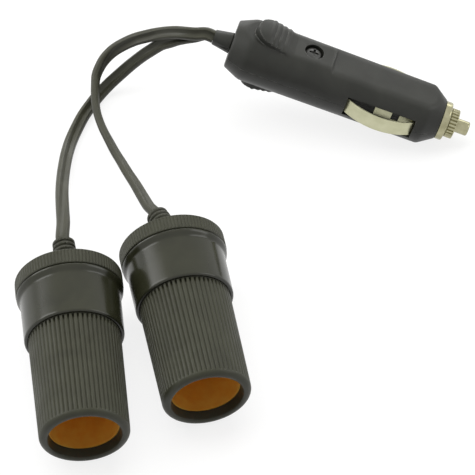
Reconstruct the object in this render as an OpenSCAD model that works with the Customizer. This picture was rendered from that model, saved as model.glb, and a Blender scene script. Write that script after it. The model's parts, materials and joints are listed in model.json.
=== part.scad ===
// Two way splitter for a vehicle power socket: one plug, two twin leads and two sockets.
// The set lies on a table. Z is up, and the origin is under the middle of the rigid pieces.

/* [Plug body] */
// Length of the plug housing, rear face to front face
body_len = 75.3; // [70:0.2:90]
// Diameter of the housing where it enters a socket
body_d = 20.8; // [20.4:0.1:21.2]
// Diameter of the housing at the hand grip
handle_d = 21.6; // [21.2:0.1:24]
// Diameter of the rear face
rear_d = 16.4; // [15:0.1:18.5]
// Length of the flare behind the grip
flare_len = 6; // [4:0.1:7]
// Diameter of the front face, where the nose nut seats
face_d = 13.9; // [13.4:0.1:15]
// Length of the front cone
cone_len = 5.1; // [4:0.1:6]
// Height of the rear flats above the axis
panel_z = 9.4; // [9:0.05:10]
// Height of the front flats above the axis
front_flat_z = 8.75; // [8.4:0.05:9.2]
// Distance from the front face back to the step between the flats
step_back = 41; // [38:0.2:43]
// Length of the sloped step between the flats
step_len = 1.2; // [0.6:0.1:2]

/* [Finger grips] */
// Width of each finger grip
grip_w = 13; // [10:0.1:14]
// Length of each finger grip
grip_len = 14.4; // [12:0.1:17]
// Distance from the rear face to the grip
grip_start = 6; // [5.8:0.1:8]
// Height of the grip's flat top above the axis
grip_z = 12.3; // [11.6:0.05:12.8]
// Radius of the grip's crown about the axis
grip_crown_r = 12.5; // [12:0.05:13]
// Number of ridges on each grip
ridge_count = 4; // [2:1:5]
// Spacing of the ridges
ridge_pitch = 1.9; // [1.6:0.05:2.2]
// Radius of a ridge
ridge_r = 0.5; // [0.3:0.05:0.6]

/* [Side contacts] */
// Length of a side contact strip
strip_len = 24; // [20:0.2:25]
// Width of a side contact strip
strip_w = 6; // [4:0.1:6.4]
// Thickness of the contact strips
strip_t = 0.4; // [0.3:0.05:0.6]
// Reach of the crown of a strip from the axis
strip_reach = 12.8; // [12.4:0.05:13]
// Reach of the ends of a strip from the axis
strip_end_reach = 9.2; // [9.1:0.05:9.4]
// Distance from the front face back to the front end of a strip
strip_back = 8.3; // [7.8:0.1:9]
// Travel of a strip when it is pressed in
strip_travel = 2.1; // [1.6:0.1:2.3]

/* [Nose] */
// Diameter of the nut's flange
flange_d = 13.4; // [12.6:0.1:13.8]
// Thickness of the nut's flange
flange_t = 2.5; // [1.6:0.1:3]
// Diameter of the nut's knurled hub
hub_d = 10.2; // [9.8:0.1:11]
// Length of the nut's knurled hub
hub_len = 2.7; // [2:0.1:4]
// Length of the groove between flange and hub
neck_len = 0.4; // [0.4:0.1:1.5]
// Diameter of the nut's threaded sleeve
thread_d = 9.6; // [9:0.1:10]
// Length of the nut's threaded sleeve
thread_len = 7; // [5:0.1:9]
// Number of notches round the hub
hub_notches = 26; // [12:2:28]
// Diameter of the centre pin
pin_d = 4.9; // [4:0.1:5]
// Length of pin that stands out of the nut
pin_out = 4.6; // [4:0.1:6]

/* [Fuse] */
// Length of the glass fuse
fuse_len = 30; // [25:0.5:32]
// Diameter of the fuse's end caps
fuse_d = 6.35; // [6:0.05:6.5]
// Length of a fuse cap
fuse_cap_len = 6; // [4:0.2:8]
// Outer diameter of the fuse spring
spring_d = 5.6; // [5:0.1:6]
// Thickness of the spring wire
spring_wire = 0.6; // [0.4:0.05:0.7]
// Length of the fuse spring at rest
spring_len = 11; // [9:0.2:12]
// Number of turns of the fuse spring
spring_turns = 6; // [4:1:7]

/* [Shell screw] */
// Distance from the front face back to the shell screw
screw_back = 48.2; // [47:0.2:49]
// Diameter of the screw head
screw_head_d = 5.6; // [5:0.1:5.8]
// Diameter of the screw shank
screw_d = 3; // [2.5:0.1:3.2]
// Width of the recess round the screw head
screw_recess_d = 6.6; // [6.2:0.1:7]

/* [Plug boot] */
// Length of the cord boot behind the plug
boot_len = 6.4; // [5.4:0.1:9]
// Size of the boot at its end, across the two cords
boot_end_w = 6.6; // [6.2:0.1:7.2]
// Size of the boot at its end, along the cords' width
boot_end_h = 5.2; // [5.1:0.1:6.2]
// Size of the boot where it meets the housing
boot_root_d = 7.2; // [6.8:0.1:8]
// Diameter of the boot's neck inside the rear wall
boot_neck_d = 6; // [5:0.1:6.4]

/* [Socket] */
// Depth from the mouth to the front lip of the barrel
sleeve_len = 36.8; // [32:0.2:42]
// Length of the smooth barrel in front of the cap
barrel_len = 17.8; // [15:0.2:22]
// Width of the knurled rim of the cap
cap_len = 5.3; // [4:0.1:7]
// Diameter of the sleeve behind the mouth
mouth_d = 28.2; // [27.6:0.1:28.6]
// Diameter of the sleeve at the barrel
sleeve_d = 29.3; // [29:0.1:29.6]
// Diameter of the barrel at its front lip
barrel_front_d = 31.6; // [31.4:0.1:31.7]
// Diameter of the barrel near the cap
barrel_rear_d = 32; // [31.7:0.1:32.4]
// Diameter over the knurled cap
cap_d = 34.4; // [33.8:0.1:35]
// Inner diameter of the metal liner
liner_bore_d = 21.4; // [21.3:0.05:21.6]
// Thickness of the metal liner
liner_t = 0.4; // [0.3:0.05:0.5]
// Depth of the plastic lip in front of the liner
lip_depth = 3.3; // [2.5:0.1:4]
// Inner diameter at the rounded edge of the mouth
mouth_bore_d = 22.8; // [22.6:0.1:23]
// Distance from the back of the ribbed sleeve to the centre contact
contact_back = 4.8; // [4.4:0.1:6]
// Number of ribs round the sleeve
rib_count = 60; // [40:2:72]
// Depth of the grooves between the ribs
rib_depth = 0.4; // [0.2:0.05:0.5]
// Number of teeth round the cap
tooth_count = 96; // [60:4:120]
// Depth of the grooves between the teeth
tooth_depth = 0.3; // [0.2:0.05:0.4]

/* [Socket strain relief] */
// Length of the ribbed strain relief behind the cap
relief_len = 12.2; // [10:0.1:15]
// Diameter of the last ring of the strain relief
relief_end_d = 7.3; // [7:0.1:8]
// Diameter of the first ring of the strain relief
relief_root_d = 8; // [7.6:0.1:8.8]
// Diameter of the strain relief's core
relief_core_d = 5.6; // [5.2:0.1:6]
// Number of rings on the strain relief
relief_rings = 7; // [5:1:8]

/* [Layout on the table] */
// Turn of the plug about the vertical
plug_turn = -13.8; // [-18:0.1:-10]
// Slope of the plug, which stands on the front edge of its lower flat
plug_pitch = 14.6; // [10:0.1:18]
// Roll of the plug about its own axis
plug_roll = -4.2; // [-8:0.1:0]
// Turn of the left socket about the vertical
left_turn = 7; // [5:0.1:9]
// Turn of the right socket about the vertical
right_turn = 11.6; // [10:0.1:14]
// Bend of the left strain relief where its cord pulls on it
left_bend = 3; // [0:1:24]
// Bend of the right strain relief where its cord pulls on it
right_bend = 19; // [0:1:24]

/* [Hidden] */

// Table places of the cord exits, at the ends of the boot and the strain reliefs
plug_exit = [-12.1, 75.7];
left_exit = [-60.1, -7.4];
right_exit = [-30.2, 5.7];

// Clearances that the fits share
slide_gap = 0.2;
seat_gap = 0.1;
turn_gap = 0.3;
cut_over = 1;
smooth = 64;
round_fn = 96;

// Width and thickness of the twin cord, and how the two cords lie in the plug's boot
cord_w = 4.5;
cord_t = 2.8;
cord_waist_t = 1.9;
cord_lead = 3;
pair_turn = 138;
pair_lean = pair_turn - 90 + plug_roll;

// Each cord's route between its exits, and how far it leans from flat at each point
left_route = [
    [-60.7, 2.8, 16.7], [-61.4, 11, 14.3], [-62.1, 20.1, 11.3], [-62.4, 28.5, 8.3],
    [-62.3, 37.2, 5.6], [-61.8, 45.1, 3.5], [-60.8, 51.9, 2.2], [-59.1, 58.3, 1.7],
    [-57.1, 64.1, 1.6], [-54.6, 69.3, 1.6], [-52, 73.8, 1.9], [-48.7, 77.3, 3.4],
    [-44.9, 79.4, 6.2], [-41, 80.3, 10], [-37, 80.2, 14.4], [-33.4, 79.9, 18],
    [-30.2, 79.5, 21], [-27, 78.5, 23.4], [-24.3, 77.7, 25.4], [-21.5, 77.1, 26.8],
    [-18.6, 76.9, 27.6]
];
left_leans = [
    0, 0, 0, 10, 20, 28, 32, 30, 26, 22, 18, 18, 18, 20, 24, 28, 32, 36, 40, 44, 46, 48,
    pair_lean, pair_lean, pair_lean
];
right_route = [
    [-33.3, 11.9, 14.5], [-35.5, 17.7, 12.9], [-38, 24.5, 11], [-40.7, 31.1, 9.3],
    [-43, 37, 7.9], [-45.4, 42.7, 6.9], [-47.6, 48.4, 6.2], [-49.7, 53.7, 5.9],
    [-51.4, 59, 5.8], [-52.5, 63.9, 5.8], [-53, 68.9, 6], [-53.1, 73.1, 6.6],
    [-52.9, 77.1, 7.7], [-51.5, 80.3, 9.4], [-49.6, 82.2, 11.5], [-46.9, 83.3, 14],
    [-43.5, 83.4, 16.8], [-39.5, 83, 19.7], [-35.6, 82, 22.2], [-31.9, 80.9, 24.4],
    [-28.1, 79.1, 26.9], [-24.6, 77.4, 28.8], [-21.2, 76.1, 29.7], [-18.2, 75.5, 30]
];
right_leans = [
    20, 20, 26, 32, 40, 48, 54, 60, 66, 72, 78, 82, 84, 84, 82, 80, 76, 72, 68, 64, 60,
    56, 52, 50, pair_lean, pair_lean, pair_lean, pair_lean
];

// Stations along the plug's axis, from the end of the boot
rear_x = boot_len;
flare_x = rear_x + flare_len;
face_x = rear_x + body_len;
cone_x = face_x - cone_len;
step_x = face_x - step_back;
screw_x = face_x - screw_back;
grip_x = rear_x + grip_start;
rear_edge = 0.5;
parting_gap = 0.1;

// Height profile of a finger grip, as shares of its length and of its height over the flat
grip_shares = [[0, 0], [0, 0.66], [0.05, 0.88], [0.12, 1], [0.3, 1], [1, 0.06], [1, 0]];
grip_peak_share = grip_shares[4].x;
grip_sink = 1.5;
grip_fade = 0.2;
ridge_start_share = 0.4;

// Side contact windows, feet and guide slots
strip_front_x = face_x - strip_back;
strip_rear_x = strip_front_x - strip_len;
strip_mid_x = (strip_front_x + strip_rear_x) / 2;
strip_rise = strip_reach - strip_end_reach;
plate_out = strip_end_reach - strip_t - strip_travel - seat_gap;
plate_lift = 0.2;
floor_reach = plate_out - plate_lift;
strip_arc_r = (pow(strip_len / 2, 2) + pow(strip_rise, 2)) / (2 * strip_rise);
window_gap = 0.4;
window_side_gap = 1.1;
window_h = strip_w + 2 * window_side_gap;
foot_w = 3;
foot_engage = 0.2;
foot_tip = floor_reach - foot_engage;

// Nose nut, centre pin, fuse, spring and live terminal
flange_x = face_x + seat_gap / 2;
hub_x = flange_x + flange_t + neck_len;
hub_front_x = hub_x + hub_len;
neck_depth = 0.75;
neck_r = hub_d / 2 - neck_depth;
hub_notch_r = 0.34;
nut_wall = 2.4;
thread_rear_x = flange_x - thread_len;
pin_collar_t = 1.2;
pin_front_x = hub_front_x + pin_out;
pin_collar_x = hub_front_x - nut_wall - seat_gap - pin_collar_t;
pin_tip_round = 0.5;
fuse_front_x = pin_collar_x - seat_gap;
fuse_rear_x = fuse_front_x - fuse_len;
fuse_bore_d = fuse_d + 2 * slide_gap;
fuse_cap_t = 0.3;
glass_t = 0.5;
glass_d = fuse_d - 2 * fuse_cap_t - seat_gap;
fuse_wire_d = 0.3;
spring_front_x = fuse_rear_x - seat_gap;
spring_rear_x = spring_front_x - spring_len;
spring_sides = 6;
spring_rings = 8;
terminal_t = 0.8;
terminal_x = spring_rear_x - seat_gap - terminal_t;
terminal_tail_len = 2.2;
terminal_tail_w = 2.4;

// Ground strap: arms beside the fuse, and a plate with two tabs in each window
arm_in = fuse_bore_d / 2 + slide_gap / 2;
arm_h = 2.4;
strap_gap = 1.4;
strap_cross_x = terminal_x - terminal_tail_len - strap_gap;
plate_h = 4.2;
tab_split = 2.6;
tab_rear_len = 6.1;
tab_front_len = 4.7;
plate_gap = 0.3;
plate_front_x = strip_front_x - strip_t - plate_gap;
plate_rear_x = plate_front_x - tab_front_len - tab_split - tab_rear_len;
web_h = 0.5;
channel_gap = 0.15;

// Wiring chamber and boot seat inside the housing
boot_wall = 2.4;
boot_flange_rim = 1.6;
boot_flange_d = boot_neck_d + 2 * boot_flange_rim;
boot_flange_t = 2;
chamber_d = 12;
chamber_x = rear_x + boot_wall + boot_flange_t + slide_gap;
boss_rim = 0.3;
boss_d = screw_recess_d + 2 * boss_rim;
chamber_len = screw_x - boss_d / 2 - chamber_x;
screw_recess_depth = 2.6;
screw_seat_z = panel_z - screw_recess_depth;
screw_head_t = 1.7;
screw_len = 13;
screw_cross_w = 0.9;
screw_cross_len = 3.4;
screw_cross_depth = 1;
boot_groove_r = 0.55;

// Stations along a socket's axis, from the mouth to the rear
socket_depth = sleeve_len + contact_back;
barrel_end = sleeve_len + barrel_len;
cap_end = barrel_end + cap_len;
collar_len = 2.9;
collar_end = cap_end + collar_len;
mouth_round = 1.8;
mouth_inner_round = 0.6;
rib_start = mouth_round;
rib_shares = [[-0.3, 0], [0, 1], [0.3, 0]];
tooth_shares = [[-0.3, 0], [0.15, 0], [0.3, 1], [0.55, 1]];
button_stand = 0.6;
seat_z = socket_depth - button_stand;
sleeve_tuck = seat_z - sleeve_len - turn_gap - liner_t;
sleeve_tail_d = sleeve_d + seat_gap;
liner_d = liner_bore_d + 2 * liner_t;
sleeve_bore_d = liner_d + 2 * seat_gap;
lip_step = 0.2;
lip_d = liner_bore_d + 2 * lip_step;
liner_start = lip_depth + seat_gap;
liner_seat_step = 0.4;
liner_seat_d = liner_bore_d + 2 * liner_seat_step;
button_t = 1.3;
button_d = 6.8;
button_dome_share = 0.7;
insulator_x = socket_depth + button_t + seat_gap / 2;
insulator_t = 2.8;
rivet_d = 3;
lug_t = 0.6;
lug_x = insulator_x + insulator_t + seat_gap / 2;
lug_w = 4.2;
lug_tail = 4.4;
lug_reach_share = 0.75;
nut_x = lug_x + lug_t + seat_gap / 2;
nut_t = 2;
nut_across = 5.5;
rivet_head = 0.4;
rivet_end = nut_x + nut_t + rivet_head;
liner_tail = 2.4;
liner_end = lug_x + liner_tail;
ground_lug_w = 4;
ground_lug_t = 0.5;
ground_lug_len = 6;
barrel_lip_round = 0.8;
barrel_wall = 1.2;
rim_len = 1.7;
rim_d = cap_d - turn_gap;
rim_angles = [60, 40, 20, 0];
cap_wall = 1.6;
spigot_inset = 1.7;
spigot_d = cap_d - 2 * spigot_inset;
spigot_space = 0.4;
spigot_end = cap_end - cap_wall - spigot_space;
cap_cavity_d = spigot_d + 2 * turn_gap;
cap_edge = 0.5;
cap_shoulder = 2.4;
cap_flat_d = cap_d - 2 * cap_shoulder;
collar_d = 12.4;
collar_rise = 0.6;
relief_neck_d = 7;
relief_hole_d = relief_neck_d + 2 * turn_gap;
relief_flange_d = 10.4;
relief_flange_t = 1.5;
relief_ring_share = 0.58;
relief_web_w = 1.5;
relief_edge_share = 0.25;

// Resting tilt and height of a socket, which lies on its mouth and on its cap
rest_a = (cap_d / 2 - cap_edge) - (mouth_d / 2 - mouth_round);
rest_b = barrel_end + cap_edge - mouth_round;
rest_c = mouth_round - cap_edge;
socket_tilt = acos(rest_c / norm([rest_a, rest_b])) - atan2(rest_b, rest_a);
socket_z = (mouth_d / 2 - mouth_round) * cos(socket_tilt) + mouth_round - mouth_round * sin(socket_tilt);

// Height of the plug, which stands on the lower flat's front edge and hangs on its cords behind
function flat_reach(r, flat, roll) =
    let (half = acos(flat / r)) abs(roll) >= half ? r : r * cos(half - abs(roll));
rest_shares = [0 : 0.05 : 1];
plug_z = max([for (s = rest_shares)
    let (r = front_flat_z + s * (body_d / 2 - front_flat_z),
        x = cone_x + cone_len * (body_d / 2 - r) / (body_d / 2 - face_d / 2))
    flat_reach(r, front_flat_z, plug_roll) * cos(plug_pitch) + x * sin(plug_pitch)]);

// Vectors turned about one axis each, and directions in the plug's and a socket's frame
function rot_x(v, a) = [v.x, v.y * cos(a) - v.z * sin(a), v.y * sin(a) + v.z * cos(a)];
function rot_y(v, a) = [v.x * cos(a) + v.z * sin(a), v.y, v.z * cos(a) - v.x * sin(a)];
function rot_z(v, a) = [v.x * cos(a) - v.y * sin(a), v.x * sin(a) + v.y * cos(a), v.z];
function plug_way(v) = rot_z(rot_y(rot_x(v, plug_roll), plug_pitch), plug_turn);
function socket_way(v, turn) = rot_z(rot_x(v, socket_tilt - 90), turn);

// Rings of a strain relief that bends to the left and down, in its socket's own frame
bend_way = 45;
relief_pitch = relief_len / relief_rings;
function relief_angle(k, bend) = bend * (1 - pow(1 - (k + 0.5) / relief_rings, 2));
function relief_heading(k, bend) =
    rot_z([-sin(relief_angle(k, bend)), 0, cos(relief_angle(k, bend))], -bend_way);
function relief_point(k, bend) = k == 0 ? [0, 0, collar_end]
    : relief_point(k - 1, bend) + relief_pitch * relief_heading(k - 1, bend);

// Socket origin that brings the end of its strain relief to the cord exit
function socket_place(exit, turn, bend) =
    let (reach = socket_way(relief_point(relief_rings, bend), turn))
    [exit.x - reach.x, exit.y - reach.y, socket_z];

// A whole route: straight out of the strain relief, along its points and straight into the boot
function led_route(exit, turn, bend, side, points) =
    let (start = socket_place(exit, turn, bend) + socket_way(relief_point(relief_rings, bend), turn),
        away = socket_way(relief_heading(relief_rings - 1, bend), turn),
        end = [plug_exit.x, plug_exit.y, plug_z] + plug_way(rot_x([0, side * cord_t / 2, 0], pair_turn)),
        into = plug_way([1, 0, 0]))
    concat([start, start + cord_lead * away], points, [end - cord_lead * into, end]);

// Direction of a route at one of its points
function unit(v) = v / norm(v);
function heading(route, i) = i == 0 ? unit(route[1] - route[0])
    : i == len(route) - 1 ? unit(route[i] - route[i - 1])
    : unit(unit(route[i + 1] - route[i]) + unit(route[i] - route[i - 1]));

// Twelve points round the twin cord: two round lobes and a waist between them
lobe_r = cord_t / 2;
lobe_x = cord_w / 2 - lobe_r;
lobe_angles = [-70, -35, 0, 35, 70];
cord_section = concat(
    [for (a = lobe_angles) [lobe_x + lobe_r * cos(a), lobe_r * sin(a)]],
    [[0, cord_waist_t / 2]],
    [for (a = lobe_angles) [-lobe_x - lobe_r * cos(a), -lobe_r * sin(a)]],
    [[0, -cord_waist_t / 2]]
);
function cord_ring(route, leans, i) =
    let (t = heading(route, i), side = unit(cross([0, 0, 1], t)), rise = cross(t, side))
    [for (p = cord_section)
        route[i] + side * (p.x * cos(leans[i]) - p.y * sin(leans[i]))
            + rise * (p.x * sin(leans[i]) + p.y * cos(leans[i]))];

// Triangles that skin rings of the same number of points into one closed tube
function tube_faces(rings, sides) = concat(
    [for (i = [1 : sides - 2]) [0, i, i + 1]],
    [for (k = [0 : rings - 2]) for (i = [0 : sides - 1])
        let (j = (i + 1) % sides, a = k * sides, b = a + sides) each
            [[a + i, b + i, b + j], [a + i, b + j, a + j]]],
    [for (i = [1 : sides - 2]) let (e = (rings - 1) * sides) [e, e + i + 1, e + i]]
);
function flatten(lists) = [for (l = lists) each l];

// Points of the fuse spring's wire
spring_r = (spring_d - spring_wire) / 2;
spring_count = spring_turns * spring_rings;
spring_rise = (spring_len - spring_wire) / spring_count;
function spring_ring(k) =
    let (a = 360 * k / spring_rings,
        c = [spring_rear_x + spring_wire / 2 + spring_rise * k, spring_r * cos(a), spring_r * sin(a)],
        out = [0, cos(a), sin(a)],
        t = unit([spring_rise, -2 * PI * spring_r / spring_rings * sin(a),
            2 * PI * spring_r / spring_rings * cos(a)]),
        up = cross(t, out))
    [for (s = [0 : spring_sides - 1])
        c + spring_wire / 2 * (out * cos(360 * s / spring_sides) + up * sin(360 * s / spring_sides))];
spring_gap = spring_rise * spring_rings - spring_wire;
echo(fuse_spring_gap_mm = spring_gap);

module plug_frame() {
    translate([plug_exit.x, plug_exit.y, plug_z])
        rotate([0, 0, plug_turn])
            rotate([0, plug_pitch, 0])
                rotate([plug_roll, 0, 0])
                    children();
}

module socket_frame(exit, turn, bend) {
    place = socket_place(exit, turn, bend);
    translate(place)
        rotate([0, 0, turn])
            rotate([socket_tilt - 90, 0, 0])
                children();
}

// A turned solid about the plug's axis, from points given as [station, radius]
module turned_x(points) {
    rotate([0, 90, 0])
        rotate_extrude($fn = round_fn)
            polygon([for (p = points) [p.y, p.x]]);
}

module rod_x(from, to, d) {
    translate([from, 0, 0])
        rotate([0, 90, 0])
            cylinder(h = to - from, d = d, $fn = smooth);
}

module block(from, to) {
    translate(from)
        cube(to - from);
}

// Outer form of the housing with its two pairs of flats
module housing_form() {
    reach = handle_d;
    intersection() {
        turned_x([
            [rear_x, 0], [rear_x, rear_d / 2 - rear_edge], [rear_x + rear_edge, rear_d / 2],
            [flare_x, handle_d / 2], [cone_x, body_d / 2], [face_x, face_d / 2], [face_x, 0]
        ]);
        rotate([90, 0, 0])
            linear_extrude(height = 2 * reach, center = true)
                polygon([
                    [0, -panel_z], [step_x, -panel_z], [step_x + step_len, -front_flat_z],
                    [face_x + cut_over, -front_flat_z], [face_x + cut_over, front_flat_z],
                    [step_x + step_len, front_flat_z], [step_x, panel_z], [0, panel_z]
                ]);
    }
}

// Raised finger grip with a round rear end, a crown and ridges across its slope
module finger_grip() {
    rise = grip_z - panel_z;
    slope_from = grip_shares[4];
    slope_to = grip_shares[5];
    intersection() {
        union() {
            rotate([90, 0, 0])
                linear_extrude(height = grip_w, center = true)
                    polygon(concat(
                        [[grip_x, panel_z - grip_sink]],
                        [for (s = grip_shares) [grip_x + s.x * grip_len, panel_z + s.y * rise]],
                        [[grip_x + grip_len, panel_z - grip_sink]]
                    ));
            for (i = [0 : ridge_count - 1]) {
                x = grip_x + ridge_start_share * grip_len + i * ridge_pitch;
                fall = (slope_from.y - slope_to.y) / ((slope_to.x - slope_from.x) * grip_len);
                drop = (x - grip_x - slope_from.x * grip_len) * fall;
                translate([x, 0, panel_z + (slope_from.y - drop) * rise])
                    rotate([90, 0, 0])
                        cylinder(h = grip_w, r = ridge_r, center = true, $fn = 24);
            }
        }
        union() {
            translate([grip_x + grip_w / 2, 0, 0])
                cylinder(h = 2 * grip_z, d = grip_w, $fn = smooth);
            block([grip_x + grip_w / 2, -grip_w / 2, 0], [grip_x + grip_len, grip_w / 2, 2 * grip_z]);
        }
        turned_x([
            [0, 0], [0, grip_crown_r], [grip_x + grip_peak_share * grip_len, grip_crown_r],
            [grip_x + grip_len, handle_d / 2 - grip_fade], [face_x, handle_d / 2 - grip_fade], [face_x, 0]
        ]);
    }
}

// Everything that is hollow in the housing
module housing_hollows() {
    rod_x(rear_x - cut_over, rear_x + boot_wall + cut_over, boot_neck_d + 2 * seat_gap);
    rod_x(rear_x + boot_wall, chamber_x, boot_flange_d + 2 * seat_gap);
    rod_x(chamber_x - seat_gap, chamber_x + chamber_len, chamber_d);
    rod_x(strap_cross_x - slide_gap, face_x + cut_over, fuse_bore_d);
    rod_x(thread_rear_x - slide_gap, face_x + cut_over, thread_d + 2 * slide_gap);
    channel = arm_in + strip_t + channel_gap;
    block([strap_cross_x - slide_gap, -channel, -arm_h / 2 - channel_gap],
        [plate_front_x, channel, arm_h / 2 + channel_gap]);
    for (side = [-1, 1]) {
        scale([1, side, 1]) {
            block([strip_rear_x - window_gap, floor_reach, -window_h / 2],
                [strip_front_x + window_gap, body_d, window_h / 2]);
            block([plate_rear_x - channel_gap, arm_in, -plate_h / 2 - channel_gap],
                [plate_front_x + channel_gap, floor_reach + cut_over, plate_h / 2 + channel_gap]);
            for (x = [strip_rear_x, strip_front_x - strip_t])
                block([x - slide_gap, arm_in, -foot_w / 2 - slide_gap],
                    [x + strip_t + slide_gap, floor_reach + cut_over, foot_w / 2 + slide_gap]);
        }
    }
}

module plug_upper_shell() {
    color([0.22, 0.22, 0.2])
        plug_frame()
            difference() {
                union() {
                    housing_form();
                    finger_grip();
                }
                housing_hollows();
                block([0, -handle_d, -handle_d], [face_x + cut_over, handle_d, parting_gap / 2]);
                translate([screw_x, 0, screw_seat_z])
                    cylinder(h = panel_z, d = screw_recess_d, $fn = smooth);
                translate([screw_x, 0, 0])
                    cylinder(h = panel_z, d = screw_d + 2 * slide_gap, $fn = smooth);
            }
}

module plug_lower_shell() {
    color([0.2, 0.2, 0.19])
        plug_frame()
            difference() {
                union() {
                    housing_form();
                    mirror([0, 0, 1])
                        finger_grip();
                }
                housing_hollows();
                block([0, -handle_d, -parting_gap / 2], [face_x + cut_over, handle_d, handle_d]);
                translate([screw_x, 0, screw_seat_z + screw_head_t - screw_len - slide_gap])
                    cylinder(h = screw_len, d = screw_d + seat_gap, $fn = smooth);
            }
}

module shell_screw() {
    color([0.35, 0.35, 0.33])
        plug_frame()
            translate([screw_x, 0, screw_seat_z])
                difference() {
                    union() {
                        cylinder(h = screw_head_t, d1 = screw_head_d,
                            d2 = screw_head_d - screw_head_t / 2, $fn = smooth);
                        translate([0, 0, screw_head_t - screw_len])
                            cylinder(h = screw_len - screw_head_t / 2, d = screw_d, $fn = smooth);
                    }
                    for (a = [0, 90])
                        rotate([0, 0, a])
                            block(
                                [-screw_cross_len / 2, -screw_cross_w / 2, screw_head_t - screw_cross_depth],
                                [screw_cross_len / 2, screw_cross_w / 2, screw_head_t + cut_over]
                            );
                }
}

// Smooth tapered boot that holds the two cords side by side
module plug_cord_boot() {
    skin_t = 0.4;
    color([0.18, 0.18, 0.17])
        plug_frame() {
            rod_x(rear_x - skin_t, rear_x + boot_wall + skin_t, boot_neck_d);
            rod_x(rear_x + boot_wall + seat_gap, rear_x + boot_wall + boot_flange_t, boot_flange_d);
            difference() {
                hull() {
                    rotate([90, 0, 90])
                        linear_extrude(height = skin_t)
                            rotate(pair_turn)
                                resize([boot_end_w, boot_end_h])
                                    circle(d = boot_end_w, $fn = 32);
                    translate([rear_x - seat_gap - skin_t, 0, 0])
                        rotate([90, 0, 90])
                            cylinder(h = skin_t, d = boot_root_d, $fn = 32);
                }
                for (side = [-1, 1])
                    hull()
                        for (end = [
                            [0, boot_end_w / 2 + boot_groove_r],
                            [rear_x - 2 * skin_t, boot_root_d / 2]
                        ])
                            translate([end.x, side * end.y, 0])
                                rotate([0, 90, 0])
                                    cylinder(h = skin_t, r = boot_groove_r, $fn = 12);
            }
        }
}

module nose_nut() {
    edge = 0.3;
    color([0.72, 0.7, 0.6])
        plug_frame()
            difference() {
                turned_x([
                    [thread_rear_x, 0], [thread_rear_x, thread_d / 2], [flange_x, thread_d / 2],
                    [flange_x, flange_d / 2], [flange_x + flange_t - edge, flange_d / 2],
                    [flange_x + flange_t, flange_d / 2 - edge], [flange_x + flange_t, neck_r],
                    [hub_x, neck_r], [hub_x, hub_d / 2], [hub_front_x - edge, hub_d / 2],
                    [hub_front_x, hub_d / 2 - edge], [hub_front_x, 0]
                ]);
                rod_x(thread_rear_x - cut_over, hub_front_x - nut_wall, fuse_bore_d);
                rod_x(hub_front_x - nut_wall - cut_over, hub_front_x + cut_over, pin_d + seat_gap);
                for (i = [0 : hub_notches - 1])
                    rotate([360 * i / hub_notches, 0, 0])
                        translate([0, 0, hub_d / 2])
                            rod_x(hub_x - edge, hub_front_x + cut_over, 2 * hub_notch_r);
            }
}

module centre_pin() {
    color([0.75, 0.73, 0.64])
        plug_frame()
            turned_x([
                [pin_collar_x, 0], [pin_collar_x, fuse_d / 2],
                [pin_collar_x + pin_collar_t, fuse_d / 2], [pin_collar_x + pin_collar_t, pin_d / 2],
                [pin_front_x - pin_tip_round, pin_d / 2],
                each [for (a = [30, 60]) [pin_front_x - pin_tip_round * (1 - sin(a)),
                    pin_d / 2 - pin_tip_round * (1 - cos(a))]],
                [pin_front_x, pin_d / 2 - pin_tip_round], [pin_front_x, 0]
            ]);
}

module fuse_glass() {
    inset = fuse_cap_t * 2 + seat_gap;
    color([0.8, 0.9, 0.9])
        plug_frame()
            difference() {
                rod_x(fuse_rear_x + inset, fuse_front_x - inset, glass_d);
                rod_x(fuse_rear_x, fuse_front_x, glass_d - 2 * glass_t);
            }
}

module fuse_caps() {
    color([0.78, 0.78, 0.76])
        plug_frame() {
            difference() {
                rod_x(fuse_rear_x, fuse_rear_x + fuse_cap_len, fuse_d);
                rod_x(fuse_rear_x + 2 * fuse_cap_t, fuse_rear_x + fuse_cap_len + cut_over,
                    fuse_d - 2 * fuse_cap_t);
            }
            difference() {
                rod_x(fuse_front_x - fuse_cap_len, fuse_front_x, fuse_d);
                rod_x(fuse_front_x - fuse_cap_len - cut_over, fuse_front_x - 2 * fuse_cap_t,
                    fuse_d - 2 * fuse_cap_t);
            }
        }
}

module fuse_wire() {
    color([0.7, 0.68, 0.6])
        plug_frame()
            rod_x(fuse_rear_x + 2 * fuse_cap_t, fuse_front_x - 2 * fuse_cap_t, fuse_wire_d);
}

module fuse_spring() {
    color([0.6, 0.6, 0.58])
        plug_frame()
            polyhedron(
                points = flatten([for (k = [0 : spring_count]) spring_ring(k)]),
                faces = tube_faces(spring_count + 1, spring_sides)
            );
}

module live_terminal() {
    color([0.75, 0.6, 0.3])
        plug_frame() {
            rod_x(terminal_x, terminal_x + terminal_t, spring_d);
            block([terminal_x - terminal_tail_len, -terminal_tail_w / 2, -terminal_t / 2],
                [terminal_x + terminal_t / 2, terminal_tail_w / 2, terminal_t / 2]);
        }
}

// One bent strip: a cross bar, two arms beside the fuse and a tabbed plate under each contact
module ground_strap() {
    arm_out = arm_in + strip_t;
    color([0.72, 0.7, 0.58])
        plug_frame() {
            block([strap_cross_x, -arm_out, -arm_h / 2], [strap_cross_x + strip_t, arm_out, arm_h / 2]);
            for (side = [-1, 1]) {
                scale([1, side, 1]) {
                    block([strap_cross_x, arm_in, -arm_h / 2], [plate_rear_x + strip_t, arm_out, arm_h / 2]);
                    block([plate_rear_x, arm_in, -arm_h / 2],
                        [plate_rear_x + strip_t, plate_out, arm_h / 2]);
                    difference() {
                        block([plate_rear_x, plate_out - strip_t, -plate_h / 2],
                            [plate_front_x, plate_out, plate_h / 2]);
                        block([plate_rear_x + tab_rear_len, 0, web_h - plate_h / 2],
                            [plate_rear_x + tab_rear_len + tab_split, body_d, plate_h]);
                    }
                }
            }
        }
}

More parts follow.
